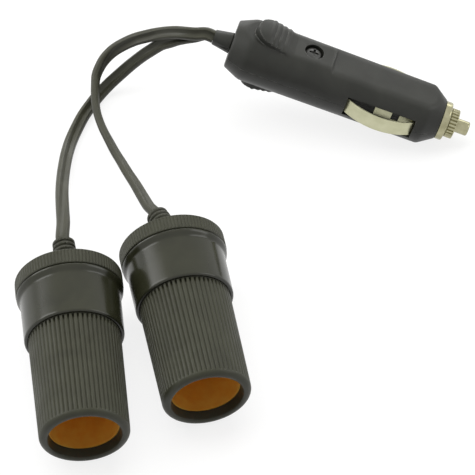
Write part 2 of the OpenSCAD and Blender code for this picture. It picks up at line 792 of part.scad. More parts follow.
// Bowed spring strip with a guide foot turned in at each end
module side_contact(side) {
    centre_y = strip_reach - strip_arc_r;
    color([0.74, 0.72, 0.6])
        plug_frame()
            scale([1, side, 1]) {
                intersection() {
                    translate([strip_mid_x, centre_y, -strip_w / 2])
                        difference() {
                            cylinder(h = strip_w, r = strip_arc_r, $fn = round_fn);
                            translate([0, 0, -cut_over])
                                cylinder(h = strip_w + 2 * cut_over, r = strip_arc_r - strip_t,
                                    $fn = round_fn);
                        }
                    block([strip_rear_x, floor_reach, -strip_w], [strip_front_x, body_d, strip_w]);
                }
                for (x = [strip_rear_x, strip_front_x - strip_t])
                    block([x, foot_tip, -foot_w / 2],
                        [x + strip_t, strip_end_reach - strip_t / 2, foot_w / 2]);
            }
}

module near_side_contact() {
    side_contact(-1);
}

module far_side_contact() {
    side_contact(1);
}

// Ribbed sleeve: a plain rounded mouth, fine ribs that swell to the rear and a plain tail
module sleeve(exit, turn, bend) {
    front_r = mouth_d / 2 - seat_gap;
    swell = sleeve_d / 2 / front_r;
    rib_len = sleeve_len - rib_start + seat_gap;
    step_a = 360 / rib_count;
    color([0.24, 0.24, 0.22])
        socket_frame(exit, turn, bend)
            difference() {
                union() {
                    rotate_extrude($fn = round_fn)
                        polygon([
                            [0, 0], [mouth_bore_d / 2 + mouth_inner_round, 0],
                            each [for (a = [0 : 15 : 90])
                                [mouth_d / 2 - mouth_round * (1 - sin(a)), mouth_round * (1 - cos(a))]],
                            [mouth_d / 2, rib_start], [0, rib_start]
                        ]);
                    translate([0, 0, rib_start - seat_gap])
                        linear_extrude(height = rib_len, scale = swell, convexity = 4)
                            polygon([for (i = [0 : rib_count - 1]) each [
                                for (s = rib_shares)
                                    (front_r - s.y * rib_depth)
                                        * [cos((i + s.x) * step_a), sin((i + s.x) * step_a)]
                            ]]);
                    translate([0, 0, sleeve_len - seat_gap])
                        cylinder(h = sleeve_tuck + seat_gap, d = sleeve_tail_d, $fn = round_fn);
                }
                rotate_extrude($fn = round_fn)
                    polygon([
                        [0, -cut_over], [mouth_bore_d / 2 + mouth_inner_round + cut_over, -cut_over],
                        [mouth_bore_d / 2 + mouth_inner_round, 0],
                        each [for (a = [30 : 30 : 90])
                            [mouth_bore_d / 2 + mouth_inner_round * (1 - sin(a)),
                                mouth_inner_round * (1 - cos(a))]],
                        [lip_d / 2, lip_depth], [0, lip_depth]
                    ]);
                translate([0, 0, lip_depth])
                    cylinder(h = sleeve_len + sleeve_tuck, d = sleeve_bore_d, $fn = round_fn);
            }
}

// Smooth barrel with a rounded front lip, a rounded rim at the cap and a spigot
module barrel(exit, turn, bend) {
    color([0.13, 0.13, 0.12])
        socket_frame(exit, turn, bend)
            difference() {
                rotate_extrude($fn = round_fn)
                    polygon([
                        [0, sleeve_len],
                        each [for (a = [0 : 30 : 90])
                            [barrel_front_d / 2 - barrel_lip_round * (1 - sin(a)),
                                sleeve_len + barrel_lip_round * (1 - cos(a))]],
                        [barrel_rear_d / 2, barrel_end - rim_len],
                        each [for (a = rim_angles)
                            [rim_d / 2 - (rim_d - barrel_rear_d) / 2 * (1 - cos(a)),
                                barrel_end - turn_gap - (rim_len - turn_gap) * sin(a)]],
                        [spigot_d / 2, barrel_end - turn_gap], [spigot_d / 2, spigot_end], [0, spigot_end]
                    ]);
                translate([0, 0, sleeve_len - cut_over])
                    cylinder(h = cap_end, d = sleeve_tail_d + 2 * seat_gap, $fn = round_fn);
            }
}

// Knurled cap with a shallow cone and a collar round the strain relief
module rear_cap(exit, turn, bend) {
    step_a = 360 / tooth_count;
    low_r = cap_d / 2 - tooth_depth;
    color([0.2, 0.2, 0.19])
        socket_frame(exit, turn, bend)
            difference() {
                union() {
                    rotate_extrude($fn = round_fn)
                        polygon([
                            [0, barrel_end], [cap_d / 2 - cap_edge - tooth_depth, barrel_end],
                            [low_r, barrel_end + cap_edge], [low_r, cap_end - cap_edge],
                            [low_r - cap_edge, cap_end], [cap_flat_d / 2, cap_end],
                            [collar_d / 2, collar_end - collar_rise], [collar_d / 2, collar_end],
                            [0, collar_end]
                        ]);
                    translate([0, 0, barrel_end + cap_edge])
                        linear_extrude(height = cap_len - 2 * cap_edge, convexity = 4)
                            polygon([for (i = [0 : tooth_count - 1]) each [
                                for (s = tooth_shares)
                                    (cap_d / 2 - s.y * tooth_depth)
                                        * [cos((i + s.x) * step_a), sin((i + s.x) * step_a)]
                            ]]);
                }
                translate([0, 0, barrel_end - cut_over])
                    cylinder(h = cap_len - cap_wall + cut_over, d = cap_cavity_d, $fn = round_fn);
                cylinder(h = collar_end + cut_over, d = relief_hole_d, $fn = smooth);
            }
}

// Metal tube that swells at its rear to a seat for the insulator
module metal_liner(exit, turn, bend) {
    color([0.75, 0.5, 0.15])
        socket_frame(exit, turn, bend)
            difference() {
                union() {
                    translate([0, 0, liner_start])
                        cylinder(h = liner_end - liner_start, d = liner_d, $fn = round_fn);
                    translate([0, 0, seat_z - liner_t])
                        cylinder(h = liner_end - seat_z + liner_t, d = liner_seat_d + 2 * liner_t,
                            $fn = round_fn);
                }
                cylinder(h = liner_end, d = liner_bore_d, $fn = round_fn);
                translate([0, 0, seat_z])
                    cylinder(h = liner_end, d = liner_seat_d, $fn = round_fn);
            }
}

module insulator(exit, turn, bend) {
    color([0.75, 0.72, 0.65])
        socket_frame(exit, turn, bend)
            translate([0, 0, insulator_x])
                difference() {
                    cylinder(h = insulator_t, d = liner_seat_d - 2 * seat_gap, $fn = round_fn);
                    translate([0, 0, -cut_over])
                        cylinder(h = insulator_t + 2 * cut_over, d = rivet_d + seat_gap, $fn = smooth);
                }
}

// Domed centre contact with its rivet stem
module centre_contact(exit, turn, bend) {
    color([0.75, 0.65, 0.4])
        socket_frame(exit, turn, bend)
            rotate_extrude($fn = smooth)
                polygon([
                    [0, socket_depth],
                    each [for (a = [30 : 30 : 90])
                        [button_d / 2 * sin(a), socket_depth + button_t * button_dome_share * (1 - cos(a))]],
                    [button_d / 2, socket_depth + button_t], [rivet_d / 2, socket_depth + button_t],
                    [rivet_d / 2, rivet_end], [0, rivet_end]
                ]);
}

module contact_nut(exit, turn, bend) {
    color([0.7, 0.7, 0.68])
        socket_frame(exit, turn, bend)
            translate([0, 0, nut_x])
                difference() {
                    cylinder(h = nut_t, d = nut_across / cos(30), $fn = 6);
                    translate([0, 0, -cut_over])
                        cylinder(h = nut_t + 2 * cut_over, d = rivet_d + seat_gap, $fn = smooth);
                }
}

// Solder lug under the nut, with its tail turned to the rear
module live_lug(exit, turn, bend) {
    reach = nut_across * lug_reach_share;
    color([0.75, 0.6, 0.3])
        socket_frame(exit, turn, bend)
            difference() {
                union() {
                    translate([0, 0, lug_x])
                        cylinder(h = lug_t, d = nut_across + lug_t, $fn = smooth);
                    block([0, -lug_w / 2, lug_x], [reach, lug_w / 2, lug_x + lug_t]);
                    block([reach - lug_t, -lug_w / 2, lug_x], [reach, lug_w / 2, lug_x + lug_tail]);
                }
                translate([0, 0, lug_x - cut_over])
                    cylinder(h = lug_t + 2 * cut_over, d = rivet_d + seat_gap, $fn = smooth);
            }
}

// Flat lug against the rear of the liner
module ground_lug(exit, turn, bend) {
    seat_r = liner_seat_d / 2 - ground_lug_t;
    color([0.75, 0.6, 0.3])
        socket_frame(exit, turn, bend)
            block([-seat_r, -ground_lug_w / 2, lug_x],
                [ground_lug_t - seat_r, ground_lug_w / 2, lug_x + ground_lug_len]);
}

// Ribbed strain relief: a flange and neck in the cap, then rings on a core joined by webs
module strain_relief(exit, turn, bend) {
    flange_z = cap_end - cap_wall - seat_gap - relief_flange_t;
    ring_t = relief_pitch * relief_ring_share;
    color([0.17, 0.17, 0.16])
        socket_frame(exit, turn, bend) {
            translate([0, 0, flange_z])
                cylinder(h = relief_flange_t, d = relief_flange_d, $fn = smooth);
            translate([0, 0, flange_z])
                cylinder(h = collar_end - flange_z + relief_edge_share * relief_pitch, d = relief_neck_d,
                    $fn = smooth);
            for (k = [0 : relief_rings - 1]) {
                ring_d = relief_root_d + (relief_end_d - relief_root_d) * k / (relief_rings - 1);
                web_r = ring_d / 2 - relief_edge_share * relief_web_w;
                translate(relief_point(k, bend))
                    rotate([0, 0, -bend_way])
                        rotate([0, -relief_angle(k, bend), 0])
                            rotate([0, 0, bend_way]) {
                                cylinder(h = relief_pitch, d = relief_core_d, $fn = smooth);
                                translate([0, 0, relief_pitch - ring_t])
                                    cylinder(h = ring_t, d = ring_d, $fn = smooth);
                                rotate([0, 0, 90 * (k % 2)])
                                    for (side = [-1, 1])
                                        scale([1, side, 1])
                                            block([-relief_web_w / 2, 0, 0],
                                                [relief_web_w / 2, web_r, relief_pitch]);
                            }
            }
        }
}

// Twin cord swept along its route
module cord(route, leans) {
    color([0.16, 0.16, 0.15])
        polyhedron(
            points = flatten([for (i = [0 : len(route) - 1]) cord_ring(route, leans, i)]),
            faces = tube_faces(len(route), len(cord_section))
        );
}

module left_sleeve() { sleeve(left_exit, left_turn, left_bend); }
module left_barrel() { barrel(left_exit, left_turn, left_bend); }
module left_rear_cap() { rear_cap(left_exit, left_turn, left_bend); }
module left_metal_liner() { metal_liner(left_exit, left_turn, left_bend); }
module left_insulator() { insulator(left_exit, left_turn, left_bend); }
module left_centre_contact() { centre_contact(left_exit, left_turn, left_bend); }
module left_contact_nut() { contact_nut(left_exit, left_turn, left_bend); }
module left_live_lug() { live_lug(left_exit, left_turn, left_bend); }
module left_ground_lug() { ground_lug(left_exit, left_turn, left_bend); }
module left_strain_relief() { strain_relief(left_exit, left_turn, left_bend); }
module left_cord() { cord(led_route(left_exit, left_turn, left_bend, -1, left_route), left_leans); }
module right_sleeve() { sleeve(right_exit, right_turn, right_bend); }
module right_barrel() { barrel(right_exit, right_turn, right_bend); }
module right_rear_cap() { rear_cap(right_exit, right_turn, right_bend); }
module right_metal_liner() { metal_liner(right_exit, right_turn, right_bend); }
module right_insulator() { insulator(right_exit, right_turn, right_bend); }
module right_centre_contact() { centre_contact(right_exit, right_turn, right_bend); }
module right_contact_nut() { contact_nut(right_exit, right_turn, right_bend); }
module right_live_lug() { live_lug(right_exit, right_turn, right_bend); }
module right_ground_lug() { ground_lug(right_exit, right_turn, right_bend); }
module right_strain_relief() { strain_relief(right_exit, right_turn, right_bend); }
module right_cord() { cord(led_route(right_exit, right_turn, right_bend, 1, right_route), right_leans); }

plug_upper_shell();
plug_lower_shell();
shell_screw();
plug_cord_boot();
nose_nut();
centre_pin();
fuse_glass();
fuse_caps();
fuse_wire();
fuse_spring();
live_terminal();
ground_strap();
near_side_contact();
far_side_contact();
left_sleeve();
left_barrel();
left_rear_cap();
left_metal_liner();
left_insulator();
left_centre_contact();
left_contact_nut();
left_live_lug();
left_ground_lug();
left_strain_relief();
left_cord();
right_sleeve();
right_barrel();
right_rear_cap();
right_metal_liner();
right_insulator();
right_centre_contact();
right_contact_nut();
right_live_lug();
right_ground_lug();
right_strain_relief();
right_cord();
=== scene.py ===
import bpy
import json
import math
from mathutils import Matrix, Vector

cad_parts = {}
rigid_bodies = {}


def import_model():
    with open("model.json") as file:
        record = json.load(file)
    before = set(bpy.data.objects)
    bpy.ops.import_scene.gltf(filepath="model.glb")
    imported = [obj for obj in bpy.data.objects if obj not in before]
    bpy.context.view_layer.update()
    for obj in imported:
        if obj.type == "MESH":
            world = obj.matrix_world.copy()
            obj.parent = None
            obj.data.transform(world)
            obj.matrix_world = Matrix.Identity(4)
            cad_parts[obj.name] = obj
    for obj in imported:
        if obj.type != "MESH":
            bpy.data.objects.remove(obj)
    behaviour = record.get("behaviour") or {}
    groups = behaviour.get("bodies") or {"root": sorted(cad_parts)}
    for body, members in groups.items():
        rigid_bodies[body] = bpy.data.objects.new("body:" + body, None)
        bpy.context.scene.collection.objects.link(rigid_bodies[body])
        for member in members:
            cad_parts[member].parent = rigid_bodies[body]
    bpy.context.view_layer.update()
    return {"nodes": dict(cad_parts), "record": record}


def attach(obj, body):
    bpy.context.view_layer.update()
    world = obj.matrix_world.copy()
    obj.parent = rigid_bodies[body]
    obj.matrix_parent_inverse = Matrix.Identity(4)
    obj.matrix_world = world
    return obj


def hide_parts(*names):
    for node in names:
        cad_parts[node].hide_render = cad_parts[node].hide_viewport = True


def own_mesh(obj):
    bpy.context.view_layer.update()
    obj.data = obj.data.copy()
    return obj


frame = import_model()
nodes = frame["nodes"]
bodyOf = {node: body for body, names in frame["record"]["behaviour"]["bodies"].items() for node in names}
print("frame loaded:", len(nodes), "nodes")


# camera at the photograph's view
cameraSetup = {
    "target": (-0.00413, 0.01064, 0.0), "distance": 0.9, "elevation": 49.59, "lens": 205.96,
    "sensor": 36, "nearClip": 0.01,
}


def placeCamera(setup):
    lift = math.radians(setup["elevation"])
    target = Vector(setup["target"])
    place = target + setup["distance"] * Vector((0, -math.cos(lift), math.sin(lift)))
    bpy.ops.object.camera_add(location=place)
    camera = bpy.context.object
    camera.name = "photoCamera"
    camera.rotation_euler = (target - place).to_track_quat("-Z", "Y").to_euler()
    camera.data.lens = setup["lens"]
    camera.data.sensor_width = setup["sensor"]
    camera.data.clip_start = setup["nearClip"]
    bpy.context.scene.camera = camera


placeCamera(cameraSetup)
print("camera placed")


# the two twin cords, each swept along its route
cordLook = {
    "width": 0.0045, "thickness": 0.0028, "waist": 0.0013, "waistShare": 0.28,
    "lobeTurn": 72, "lobeSteps": 12, "smoothing": 8, "angle": 50,
}
pairLean = 43.8  # both cords lean alike where they lie on each other in the plug's boot
leftCord = {
    "node": "left_cord",
    "route": [
        (-0.0601, -0.0074, 0.0180), (-0.0606, -0.0044, 0.0181), (-0.0607, 0.0028, 0.0167),
        (-0.0614, 0.0110, 0.0143), (-0.0621, 0.0201, 0.0113), (-0.0624, 0.0285, 0.0083),
        (-0.0623, 0.0372, 0.0056), (-0.0618, 0.0451, 0.0035), (-0.0608, 0.0519, 0.0022),
        (-0.0591, 0.0583, 0.0017), (-0.0571, 0.0641, 0.0016), (-0.0546, 0.0693, 0.0016),
        (-0.0520, 0.0738, 0.0019), (-0.0487, 0.0773, 0.0034), (-0.0449, 0.0794, 0.0062),
        (-0.0410, 0.0803, 0.0100), (-0.0370, 0.0802, 0.0144), (-0.0334, 0.0799, 0.0180),
        (-0.0302, 0.0795, 0.0210), (-0.0270, 0.0785, 0.0234), (-0.0243, 0.0777, 0.0254),
        (-0.0215, 0.0771, 0.0268), (-0.0186, 0.0769, 0.0276), (-0.0149, 0.0774, 0.0282),
        (-0.0121, 0.0767, 0.0274),
    ],
    "leans": [
        0, 0, 0, 10, 20, 28, 32, 30, 26, 22, 18, 18, 18, 20, 24, 28, 32, 36, 40, 44, 46, 48,
        pairLean, pairLean, pairLean,
    ],
}
rightCord = {
    "node": "right_cord",
    "route": [
        (-0.0302, 0.0057, 0.0164), (-0.0315, 0.0084, 0.0159), (-0.0333, 0.0119, 0.0145),
        (-0.0355, 0.0177, 0.0129), (-0.0380, 0.0245, 0.0110), (-0.0407, 0.0311, 0.0093),
        (-0.0430, 0.0370, 0.0079), (-0.0454, 0.0427, 0.0069), (-0.0476, 0.0484, 0.0062),
        (-0.0497, 0.0537, 0.0059), (-0.0514, 0.0590, 0.0058), (-0.0525, 0.0639, 0.0058),
        (-0.0530, 0.0689, 0.0060), (-0.0531, 0.0731, 0.0066), (-0.0529, 0.0771, 0.0077),
        (-0.0515, 0.0803, 0.0094), (-0.0496, 0.0822, 0.0115), (-0.0469, 0.0833, 0.0140),
        (-0.0435, 0.0834, 0.0168), (-0.0395, 0.0830, 0.0197), (-0.0356, 0.0820, 0.0222),
        (-0.0319, 0.0809, 0.0244), (-0.0281, 0.0791, 0.0269), (-0.0246, 0.0774, 0.0288),
        (-0.0212, 0.0761, 0.0297), (-0.0182, 0.0755, 0.0300), (-0.0149, 0.0754, 0.0302),
        (-0.0121, 0.0747, 0.0294),
    ],
    "leans": [
        20, 20, 26, 32, 40, 48, 54, 60, 66, 72, 78, 82, 84, 84, 82, 80, 76, 72, 68, 64, 60,
        56, 52, 50, pairLean, pairLean, pairLean, pairLean,
    ],
}


def pickOnly(piece):
    bpy.ops.object.select_all(action="DESELECT")
    piece.select_set(True)
    bpy.context.view_layer.objects.active = piece


def smoothRow(rows, steps):
    # Catmull-Rom through every row of numbers
    result = []
    for i in range(len(rows) - 1):
        a, b, c, d = (rows[max(0, i - 1)], rows[i], rows[i + 1], rows[min(len(rows) - 1, i + 2)])
        for k in range(steps):
            t = k / steps
            result.append([
                0.5 * (2 * q + (r - p) * t + (2 * p - 5 * q + 4 * r - s) * t * t
                       + (3 * q - p - 3 * r + s) * t ** 3)
                for p, q, r, s in zip(a, b, c, d)
            ])
    result.append(list(rows[-1]))
    return result


def cordSection(look):
    # two round lobes and the waist between them
    lobe = look["thickness"] / 2
    reach = look["width"] / 2 - lobe
    turn, waist = look["lobeTurn"], look["waist"] / 2
    points = []
    for side in (1, -1):
        for k in range(look["lobeSteps"] + 1):
            angle = math.radians(-turn + 2 * turn * k / look["lobeSteps"])
            points.append((side * (reach + lobe * math.cos(angle)), side * lobe * math.sin(angle)))
        points.append((side * reach * look["waistShare"], side * waist))
        points.append((-side * reach * look["waistShare"], side * waist))
    return points


def makeCord(cord, look):
    node = cord["node"]
    rows = smoothRow([list(p) + [lean] for p, lean in zip(cord["route"], cord["leans"])], look["smoothing"])
    path = [Vector(row[:3]) for row in rows]
    section = cordSection(look)
    vertices, faces = [], []
    for i, row in enumerate(rows):
        heading = (path[min(i + 1, len(path) - 1)] - path[max(i - 1, 0)]).normalized()
        side = Vector((0, 0, 1)).cross(heading).normalized()
        rise = heading.cross(side)
        lean = math.radians(row[3])
        for x, y in section:
            vertices.append(
                path[i]
                + side * (x * math.cos(lean) - y * math.sin(lean))
                + rise * (x * math.sin(lean) + y * math.cos(lean))
            )
    count = len(section)
    for i in range(len(path) - 1):
        for j in range(count):
            k = (j + 1) % count
            faces.append((i * count + j, i * count + k, (i + 1) * count + k, (i + 1) * count + j))
    faces.append(tuple(reversed(range(count))))
    faces.append(tuple(range((len(path) - 1) * count, len(path) * count)))
    mesh = bpy.data.meshes.new(node + "Tube")
    mesh.from_pydata(vertices, [], faces)
    piece = bpy.data.objects.new(node + "Tube", mesh)
    bpy.context.collection.objects.link(piece)
    pickOnly(piece)
    bpy.ops.object.mode_set(mode="EDIT")
    bpy.ops.mesh.select_all(action="SELECT")
    bpy.ops.mesh.normals_make_consistent(inside=False)
    bpy.ops.object.mode_set(mode="OBJECT")
    bpy.ops.object.shade_smooth_by_angle(angle=math.radians(look["angle"]))
    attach(piece, bodyOf[node])
    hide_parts(node)


makeCord(leftCord, cordLook)
makeCord(rightCord, cordLook)
print("cords swept")


# directions and origins of the plug and of the two sockets, read from the record's mounts
mounts = {mount["name"]: mount for mount in frame["record"]["mounts"]}
joints = {joint["name"]: joint for joint in frame["record"]["behaviour"]["joints"]}
slotOf = {entry["node"]: entry["material_slot"] for entry in frame["record"]["subparts"]}
stations = {"boreMiddle": 22.2, "pinTip": 91.95}
millimetre = 0.001  # turned pieces are drawn in millimetres
smoothing = {"join": 0.002, "merge": 0.000004, "angle": 35, "weight": 90}
modelled = {"left_cord", "right_cord"}


def columnsOf(x, y, z, origin):
    turn = Matrix((x, y, z)).transposed().to_4x4()
    return Matrix.Translation(origin) @ turn @ Matrix.Scale(millimetre, 4)


def socketFrame(side):
    # z runs from the mouth to the rear
    mount = mounts[side + "_socket"]
    rearward = -Vector(mount["axis"])
    x = rearward.cross(Vector((0, 0, 1))).normalized()
    origin = Vector(mount["pos_m"]) - rearward * stations["boreMiddle"] * millimetre
    return columnsOf(x, rearward.cross(x), rearward, origin)


def plugFrame():
    # z runs from the cords to the tip, and x away from the camera
    mount = mounts["plug_tip"]
    along = Vector(mount["axis"])
    across = Vector(joints["near_contact_in"]["axis"])
    origin = Vector(mount["pos_m"]) - along * stations["pinTip"] * millimetre
    return columnsOf(across, along.cross(across), along, origin)


def softStep(value):
    value = min(1, max(0, value))
    return value * value * (3 - 2 * value)


def arcPoints(radius, station, size, first, last, steps):
    # a round corner as points of radius and station
    angles = [math.radians(first + (last - first) * k / steps) for k in range(steps + 1)]
    return [(radius + size * math.cos(a), station + size * math.sin(a)) for a in angles]


def spinOutline(name, outline, steps):
    # one closed outline of radius and station, turned about the z axis
    bpy.ops.object.select_all(action="DESELECT")
    bpy.ops.mesh.primitive_circle_add(vertices=len(outline), radius=1)
    piece = bpy.context.object
    piece.name = name
    for vertex, (radius, station) in zip(piece.data.vertices, outline):
        vertex.co = (radius, 0, station)
    bpy.ops.object.mode_set(mode="EDIT")
    bpy.ops.mesh.select_all(action="SELECT")
    bpy.ops.mesh.spin(steps=steps, angle=math.tau, center=(0, 0, 0), axis=(0, 0, 1))
    bpy.ops.mesh.select_all(action="SELECT")
    bpy.ops.mesh.remove_doubles(threshold=smoothing["join"])
    bpy.ops.mesh.normals_make_consistent(inside=False)
    bpy.ops.object.mode_set(mode="OBJECT")
    return piece


def pressGrooves(piece, look, steps):
    # the grooves are pressed in towards the axis, one column of the pattern at a time
    pattern = look["groovePattern"]
    middle = (look["grooveReach"][0] + look["grooveReach"][1]) / 2
    for place, share in enumerate(pattern):
        if not share:
            continue
        pickOnly(piece)
        bpy.ops.object.mode_set(mode="EDIT")
        bpy.ops.mesh.select_all(action="DESELECT")
        bpy.ops.object.mode_set(mode="OBJECT")
        for vertex in piece.data.vertices:
            x, y, station = vertex.co
            column = round(math.atan2(y, x) / math.tau * steps) % len(pattern)
            vertex.select = (
                column == place
                and look["grooveFrom"] < station < look["grooveTo"]
                and look["grooveReach"][0] < math.hypot(x, y) < look["grooveReach"][1]
            )
        bpy.ops.object.mode_set(mode="EDIT")
        pressed = 1 - share * look["grooveDepth"] / middle
        bpy.ops.transform.resize(value=(pressed, pressed, 1), center_override=(0, 0, 0))
        bpy.ops.object.mode_set(mode="OBJECT")


def shadePiece(piece):
    pickOnly(piece)
    bpy.ops.object.shade_smooth_by_angle(angle=math.radians(smoothing["angle"]))
    even = piece.modifiers.new("evenShade", "WEIGHTED_NORMAL")
    even.keep_sharp = True
    even.weight = smoothing["weight"]
    bpy.ops.object.modifier_apply(modifier=even.name)


def standFor(piece, node):
    # the piece moves with its node's body and takes its place
    shadePiece(piece)
    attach(piece, bodyOf[node])
    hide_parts(node)


def seatPiece(piece, node, place):
    pickOnly(piece)
    piece.name = node + "Shape"
    piece.matrix_world = place
    bpy.ops.object.transform_apply(location=True, rotation=True, scale=True)
    standFor(piece, node)
    modelled.add(node)


def seatPair(piece, name):
    # modelled once, and copied for the second socket
    pickOnly(piece)
    bpy.ops.object.duplicate()
    twin = bpy.context.object
    seatPiece(piece, "left_" + name, socketFrame("left"))
    seatPiece(twin, "right_" + name, socketFrame("right"))


# ribbed sleeve: a round mouth ring, 60 soft ribs with narrow grooves, and a tail in the barrel
sleeveLook = {
    "boreR": 11.2, "lipR": 10.9, "mouthBoreR": 11.4, "innerRound": 0.6, "lipDepth": 3.3,
    "mouthR": 14.1, "mouthRound": 1.8, "rearR": 14.65, "length": 36.8,
    "rings": (2.2, 2.7, 3.2, 8, 14, 20, 26, 32, 35.2, 35.7, 36.6),
    "tailGap": 0.1, "tailR": 14.7, "tailEnd": 40.3,
    "ribs": 60, "grooveDepth": 0.46, "groovePattern": (1, 0.42, 0.1, 0, 0, 0, 0.1, 0.42),
    "grooveFrom": 1.6, "grooveTo": 36.75, "grooveReach": (13.6, 14.68),
    "grooveEnds": {"grooveFrom": 35.5, "grooveDepth": 0.5, "groovePattern": (1, 0.7, 0, 0, 0, 0, 0, 0.7)},
}


def modelSleeve(look):
    bore, lip, rear, length = look["mouthBoreR"], look["lipR"], look["rearR"], look["length"]
    ring, size, inner = look["mouthR"], look["mouthRound"], look["innerRound"]
    outline = [(look["boreR"], look["tailEnd"]), (look["boreR"], look["lipDepth"]), (lip, look["lipDepth"])]
    outline += arcPoints(bore + inner, inner, inner, 180, 270, 4)
    outline += arcPoints(ring - size, size, size, 270, 360, 8)
    for station in look["rings"] + (length,):
        outline.append((ring + (rear - ring) * (station - size) / (length - size), station))
    outline += [(look["tailR"], length + look["tailGap"]), (look["tailR"], look["tailEnd"])]
    steps = look["ribs"] * len(look["groovePattern"])
    piece = spinOutline("sleeve", outline, steps)
    pressGrooves(piece, look, steps)
    # the grooves end in small pits under the barrel's lip
    pressGrooves(piece, {**look, **look["grooveEnds"]}, steps)
    return piece


# glossy barrel: a round front lip, a straight wall, a rolled rim and the spigot in the cap
barrelLook = {
    "boreR": 14.8, "front": 36.8, "frontR": 15.8, "lipRound": 0.8, "wallShares": (0.03, 0.34, 0.67, 0.97, 1),
    "rearR": 16, "rear": 51.7, "rimR": 17.05, "rimEnd": 54.3, "rimSteps": 12, "rimTop": 0.2, "rimEdge": 0.15,
    "spigotR": 15.5, "spigotEnd": 57.9, "steps": 192,
}


def modelBarrel(look):
    lip, rear, rearR, rimEnd = look["lipRound"], look["rear"], look["rearR"], look["rimEnd"]
    start = look["front"] + lip
    outline = [(look["boreR"], look["front"])]
    outline += arcPoints(look["frontR"] - lip, start, lip, 270, 360, 6)
    for share in look["wallShares"]:
        outline.append((look["frontR"] + (rearR - look["frontR"]) * share, start + (rear - start) * share))
    for k in range(1, look["rimSteps"] + 1):
        outline.append((
            rearR + (look["rimR"] - rearR) * softStep(k / look["rimSteps"]),
            rear + (rimEnd - look["rimTop"] - rear) * k / look["rimSteps"],
        ))
    outline += [(look["rimR"] - look["rimEdge"], rimEnd), (look["spigotR"], rimEnd)]
    outline += [(look["spigotR"], look["spigotEnd"]), (look["boreR"], look["spigotEnd"])]
    return spinOutline("barrel", outline, look["steps"])


# screwed cap: a knurled band between two small chamfers, a shallow cone and the collar
capLook = {
    "front": 54.6, "rear": 59.9, "cavityR": 15.8, "cavityEnd": 58.3, "bandR": 17.2, "ease": 0.1,
    "edge": 0.45, "edgeFoot": 0.15, "edgeSide": 0.2, "edgeShare": 0.6,
    "coneR": 14.8, "coneStart": (0.5, 0.14), "holeR": 3.8,
    "collarR": 6.2, "collarFoot": 62.2, "collarSpread": 0.3, "collarEnd": 62.8, "collarRound": 0.25,
    "teeth": 96, "grooveDepth": 0.26, "groovePattern": (0, 0, 0.15, 1, 1, 0.15),
    "grooveFrom": 54.95, "grooveTo": 59.55, "grooveReach": (16.95, 17.25),
}


def modelRearCap(look):
    front, rear, edge, band = look["front"], look["rear"], look["edge"], look["bandR"]
    collar, size, ease = look["collarR"], look["collarRound"], look["ease"]
    outline = [(look["cavityR"], look["cavityEnd"]), (look["cavityR"], front)]
    outline.append((band - edge - look["edgeFoot"], front))
    outline.append((band - look["edgeSide"], front + edge * look["edgeShare"]))
    outline += [(band, front + edge + ease), (band, rear - edge - ease)]
    outline += arcPoints(band - edge, rear - edge, edge, 20, 90, 4)
    outline += [(look["coneR"], rear), (look["coneR"] - look["coneStart"][0], rear + look["coneStart"][1])]
    outline.append((collar + look["collarSpread"], look["collarFoot"] - ease))
    outline.append((collar, look["collarFoot"] + ease))
    outline += arcPoints(collar - size, look["collarEnd"] - size, size, 0, 90, 3)
    outline += [(look["holeR"], look["collarEnd"]), (look["holeR"], look["cavityEnd"])]
    steps = look["teeth"] * len(look["groovePattern"])
    piece = spinOutline("rearCap", outline, steps)
    pressGrooves(piece, look, steps)
    return piece


# nose nut: a threaded sleeve in the housing, a flange, a neck and a notched hub
nutLook = {
    "fuseBoreR": 3.375, "pinBoreR": 2.5, "pinBore": 84.95, "threadRear": 74.75, "threadR": 4.8,
    "flange": 81.75, "flangeR": 6.7, "flangeEnd": 84.25, "flangeRound": 0.45,
    "flangeEdge": 0.2, "flangeSide": 1, "neckR": 4.35, "neckFoot": 0.6,
    "hub": 84.65, "hubR": 5.1, "hubEnd": 87.35, "hubRound": 0.3, "hubEdge": (0.2, 0.15), "hubFace": 1,
    "notches": 26, "grooveDepth": 0.5, "groovePattern": (1, 0.8, 0.1, 0, 0, 0, 0.1, 0.8),
    "grooveFrom": 84.6, "grooveTo": 87.4, "grooveReach": (4.72, 5.15),
}


def modelNoseNut(look):
    big, small, bore = look["flangeRound"], look["hubRound"], look["fuseBoreR"]
    flange, flangeR, flangeEnd = look["flange"], look["flangeR"], look["flangeEnd"]
    hub, hubR, hubEnd = look["hub"], look["hubR"], look["hubEnd"]
    outline = [(look["pinBoreR"], look["pinBore"]), (bore, look["pinBore"]), (bore, look["threadRear"])]
    outline += [(look["threadR"], look["threadRear"]), (look["threadR"], flange)]
    outline += [(flangeR - look["flangeEdge"], flange), (flangeR, flange + look["flangeEdge"])]
    outline.append((flangeR, flange + look["flangeSide"]))
    outline += arcPoints(flangeR - big, flangeEnd - big, big, 0, 90, 6)
    outline.append((look["neckR"] + look["neckFoot"], flangeEnd))
    outline += [(look["neckR"], flangeEnd), (look["neckR"], hub)]
    outline += [(hubR - look["hubEdge"][0], hub), (hubR, hub + look["hubEdge"][1])]
    outline += arcPoints(hubR - small, hubEnd - small, small, 0, 90, 4)
    outline += [(hubR - look["hubFace"], hubEnd), (look["pinBoreR"], hubEnd)]
    steps = look["notches"] * len(look["groovePattern"])
    piece = spinOutline("noseNut", outline, steps)
    pressGrooves(piece, look, steps)
    return piece


# centre pin: a collar inside the nut and a straight pin with a round tip
pinLook = {
    "collar": 83.65, "collarR": 3.175, "collarEnd": 84.85, "pinR": 2.45, "ring": 88,
    "tip": 91.95, "tipRound": 0.55, "steps": 96,
}


